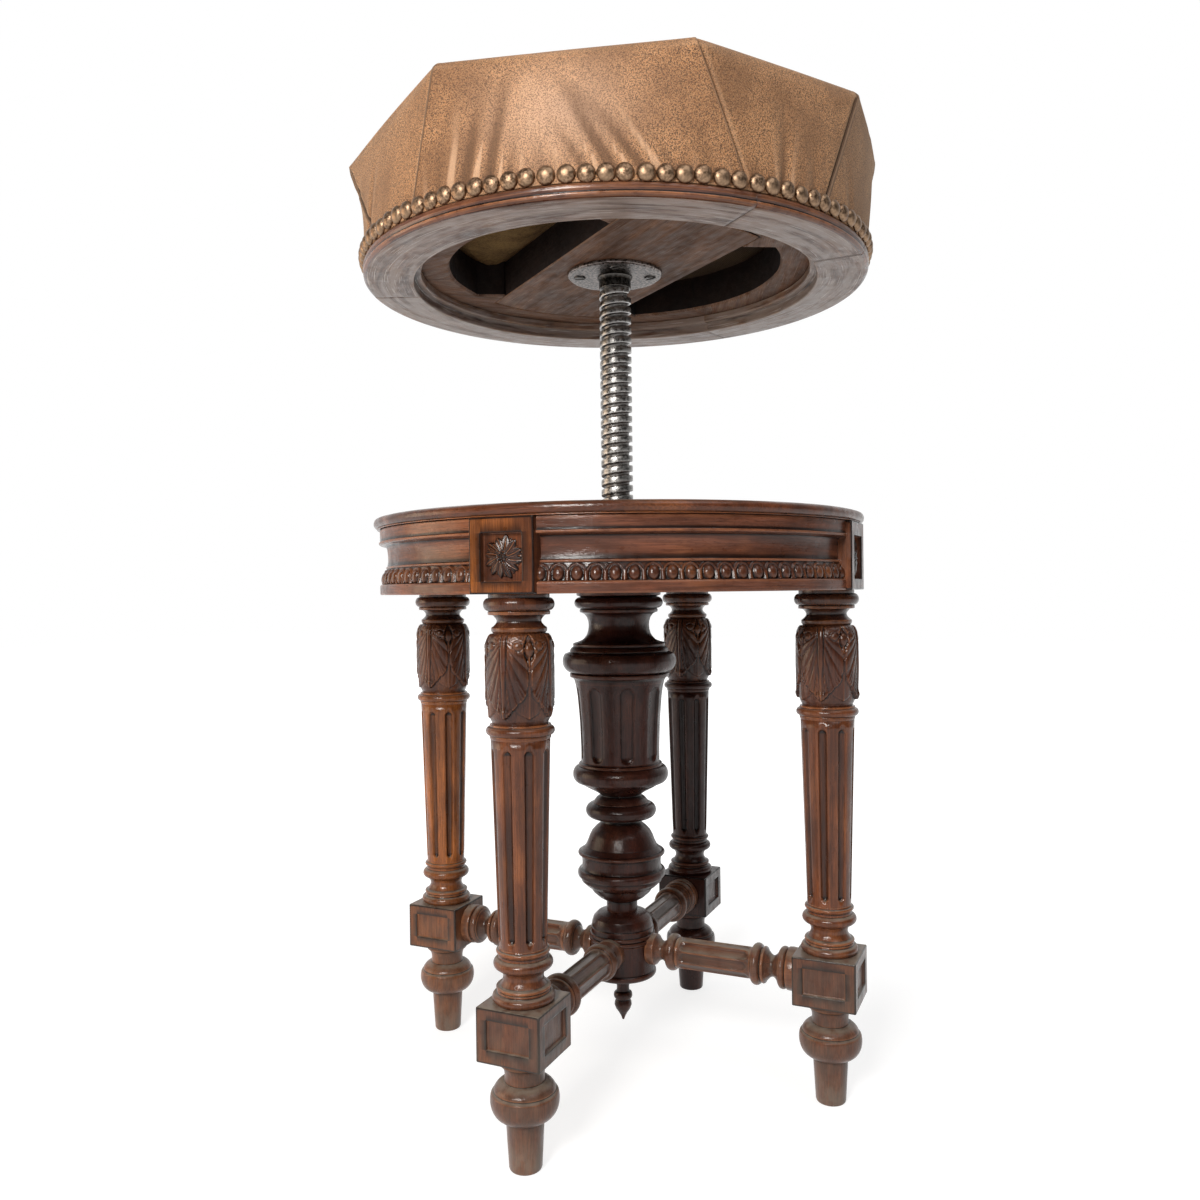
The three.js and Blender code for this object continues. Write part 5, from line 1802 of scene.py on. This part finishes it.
WRINKLES = [
    # direction at the nails and at the upper end, share of the side's height, depth, half width
    (257, 259, 0.5, 1.2, 3.0), (263.5, 268, 0.85, 2.2, 3.2), (269, 273, 0.98, 2.4, 3.0),
    (273.5, 275, 0.65, 1.4, 2.4), (280, 278, 0.4, 1.0, 2.6), (288.5, 279, 0.65, 1.5, 3.0),
    (293.5, 281, 0.9, 2.3, 3.2), (299, 285, 0.8, 2.0, 3.0), (305, 298, 0.45, 1.0, 2.6),
    (312, 309, 0.4, 0.9, 2.6),
]
fold_chance = np.random.default_rng(5)
for direction in np.arange(324, 604, 14):
    start = direction + fold_chance.uniform(-5, 5)
    size = fold_chance.uniform(0.6, 1.7)
    end = start + fold_chance.uniform(-6, 6)
    WRINKLES.append((start % 360, end % 360, 0.3 + 0.3 * size, size, 2.3))


def wrinkle_depth(points):
    """How far the pulled cloth sinks at each point, in folds that rise from the nails and fade"""
    direction = np.degrees(np.arctan2(points[:, 1], points[:, 0]))
    up_side = np.clip((points[:, 2] - NAIL_HEIGHT) / (EDGE_HEIGHT - NAIL_HEIGHT), 0, 1)
    depth = np.zeros(len(points))
    for low, high, share, deep, half in WRINKLES:
        climb = np.clip(up_side / share, 0, 1)
        lean = (high - low + 180) % 360 - 180
        off = (direction - low - lean * climb + 180) % 360 - 180
        square = (off / (half * (0.55 + 0.6 * climb))) ** 2
        depth += 1.25 * deep * (1 - 1.1 * square) * np.exp(-square) * (1 - climb) ** 0.7
    nails = np.radians(direction) * NAIL_COUNT
    return depth + 0.3 * np.cos(nails) * np.exp(-np.maximum(points[:, 2] - NAIL_HEIGHT, 0) / 6)


def fold_seams(points, distance, lapping):
    """Swells the lapping side of each seam, dips the other side, and sinks the pulled folds"""
    grid = points.reshape(-1, 2 * len(cover_columns), 3)
    along = np.roll(grid, -1, 1) - np.roll(grid, 1, 1)
    upward = np.gradient(grid, axis=0)
    out = np.cross(along, upward).reshape(-1, 3)
    out /= np.maximum(np.linalg.norm(out, axis=1, keepdims=True), 1e-9)
    height = points[:, 2]
    shown = np.clip((height - 562) / 6, 0, 1) * np.clip((EDGE_HEIGHT + 3 - height) / 8, 0, 1)
    outer = np.arange(len(points)) < 4 * np.sum(kind != "inside")
    lap = 0.9 * np.exp(-distance / 7)
    under = -1.7 * np.exp(-((distance / 2.2) ** 2)) - 0.3 * np.exp(-distance / 8)
    move = (np.where(lapping > 0.2, lap, under) - wrinkle_depth(points)) * shown * outer
    return points + out * move[:, None]


ring_count = len(cushion_points) // len(cover_columns)
settled = np.array([v.co for v in cushion.data.vertices]) / MM
bpy.data.objects.remove(cushion)
seam_distance = refined(from_seam, ring_count)[:, 0]
fine_laps = refined(laps, ring_count)[:, 0]
fine_points = fold_seams(refined(settled, ring_count), seam_distance, fine_laps)
fine_faces = grid_faces(2 * ring_count - 1, 2 * len(cover_columns), joined_up=True)
print("cushion faces:", len(fine_faces))

# %% [markdown]
# The cloth is a tan suede imitation. Close up it is a speckle of brown and straw-coloured dots with
# a faint slanting twill, and its nap has a soft sheen. Dots and twill are noise in the cloth's own
# place. Three numbers on the mesh do the rest. The first two say how far a point bulges or hollows,
# and how deep it lies in a pulled fold or a seam; with them the finish paints shade into the hollows,
# folds and seams, and light onto the crests. The third is a painted pool of light, largest in the
# middle of the front.
# %% Suede finish
# where the painted pool of light lies on the cushion's front, and how wide it is
GLOW_DIRECTION, GLOW_SPREAD = 282, 13  # degrees


def suede_finish():
    material, tree = new_material("tan_suede")
    place = carried(tree, "grain", "Vector")
    fold, rub_and_shade = carried(tree, "fold"), carried(tree, "rub_and_shade")
    speck = node(tree, "TexNoise", Vector=place, Scale=1.35, Detail=2.0, Roughness=0.7).outputs["Fac"]
    colour = blend_colours(tree, ramp(tree, speck, 0.42, 0.58), (0.035, 0.013, 0.004), (0.36, 0.165, 0.062))
    colour = tinted(tree, colour, noise(tree, place, 2.2, 2.0), 0.47, 0.62, 0.65, (0.5, 0.29, 0.15))
    colour = tinted(tree, colour, noise(tree, place, 0.03, 4.0), 0.38, 0.66, 0.6, (0.14, 0.062, 0.024))
    # painted light: a soft pool of light on the front of the cushion
    bleached = calculate(tree, "MULTIPLY", carried(tree, "faded"), 0.52)
    colour = blend_colours(tree, bleached, colour, (0.62, 0.4, 0.27))
    # painted shade and light: the fold layers darken pulled folds and seams and lighten the crests, and the
    # rub layers darken hollows and lighten bulges
    layers = (
        # number, its range, the largest share and the tone
        (speck, 0.52, 0.4, 0.5, (0.06, 0.025, 0.01)),
        (fold, 0.2, 1.8, 0.75, (0.085, 0.036, 0.013)),
        (fold, 2.0, 3.4, 0.9, (0.025, 0.012, 0.006)),
        (fold, -0.08, -0.5, 0.5, (0.62, 0.39, 0.24)),
        (rub_and_shade, -0.01, -0.1, 0.5, (0.12, 0.055, 0.022)),
        (rub_and_shade, 0.012, 0.1, 0.2, (0.5, 0.3, 0.17)),
        (rub_and_shade, -0.12, -0.5, 0.8, (0.05, 0.024, 0.01)),
    )
    for layer in layers:
        colour = tinted(tree, colour, *layer)
    slant = node(tree, "Mapping", Vector=place, Rotation=(0.5, 0.35, 0.9)).outputs[0]
    twill = node(tree, "TexWave", Vector=slant, Scale=0.24, Distortion=2.0, Detail=2.0).outputs["Fac"]
    relief = calculate(tree, "ADD", speck, calculate(tree, "MULTIPLY", twill, 0.25))
    bump = node(tree, "Bump", Strength=0.4, Distance=0.0006, Height=relief).outputs[0]
    end_finish(
        tree, Base_Color=colour, Roughness=0.82, Normal=bump, Sheen_Weight=0.25, Sheen_Roughness=0.4,
        Sheen_Tint=(0.9, 0.7, 0.5, 1),
    )
    return material


cushion = make_piece(
    "suede_cushion", (fine_points, fine_faces), suede_finish(), "seat", ["seat_cover", "seat_stuffing"],
    same_place, spread=1,
)
bearing = np.degrees(np.arctan2(fine_points[:, 1], fine_points[:, 0])) % 360
level = (fine_points[:, 2] - NAIL_HEIGHT) / (EDGE_HEIGHT - NAIL_HEIGHT)
# painted light: the pool of light is strongest here and fades around it
off_spot = ((bearing - GLOW_DIRECTION) / GLOW_SPREAD) ** 2 + ((level - 0.5) / 0.42) ** 2
add_numbers(cushion.data, "faded", np.exp(-off_spot))
# painted shadow: a dark line along each seam, added to the fold number
seam_line = 4.2 * np.exp(-((seam_distance / 1.2) ** 2)) * (level < 1.03)
add_numbers(cushion.data, "fold", (wrinkle_depth(fine_points) + seam_line) * (level > 0))
print("cushion covered")

# %% [markdown]
# A hundred domed nails hold the cover, shoulder to shoulder. They are cheap to model well: one dome
# of revolution, copied round the seat into a single mesh with small random changes of tilt and
# height, because no upholsterer hits every nail alike. The random numbers are seeded, so that they
# are the same each time.
# %% Nails
NAIL_RADIUS = 5.3
nail_chance = np.random.default_rng(7)


def brass_finish():
    material, tree = new_material("antique_brass")
    place = carried(tree, "grain", "Vector")
    speck = noise(tree, place, 0.8, 4.0)
    colour = blend_colours(tree, ramp(tree, speck, 0.35, 0.7), (0.12, 0.072, 0.044), (0.36, 0.235, 0.15))
    colour = tinted(tree, colour, noise(tree, place, 0.06, 2.0), 0.4, 0.6, 0.5, (0.3, 0.2, 0.125))
    gloss = ramp(tree, speck, 0.3, 0.7, 0.36, 0.52)
    bump = node(tree, "Bump", Strength=0.25, Distance=0.0003, Height=speck).outputs[0]
    end_finish(tree, Base_Color=colour, Roughness=gloss, Normal=bump, Metallic=1.0)
    return material


def nail_dome():
    turn = np.linspace(0, math.pi / 2, 10)
    dome = [[0.1 + (NAIL_RADIUS - 0.1) * math.cos(a), 0.5 + 3.5 * math.sin(a)] for a in turn]
    return turned(np.array([[0.1, -0.6], [NAIL_RADIUS - 0.5, -0.6], [NAIL_RADIUS, 0], *dome]), 28)


def small_tilt(axis):
    """A turn of a few degrees, as no nail goes in quite straight"""
    return Matrix.Rotation(math.radians(nail_chance.uniform(-5, 5)), 4, axis)


def nail_row():
    heads = []
    dome = nail_dome()
    for k in range(NAIL_COUNT):
        angle = FULL_TURN * (k + 0.05 * nail_chance.uniform(-1, 1)) / NAIL_COUNT
        height = NAIL_HEIGHT + nail_chance.uniform(-0.45, 0.45)
        outward = Matrix.Rotation(angle, 4, "Z") @ Matrix.Rotation(math.pi / 2, 4, "Y")
        tilt = small_tilt("X") @ small_tilt("Y")
        centre = Vector((NAILED_RADIUS * math.cos(angle), NAILED_RADIUS * math.sin(angle), height))
        heads.append(moved(dome, Matrix.Translation(centre) @ outward @ tilt))
    return together(*heads)


make_piece("upholstery_nails", nail_row(), brass_finish(), "seat", (), same_place, 50, 0)
print("nails:", NAIL_COUNT)
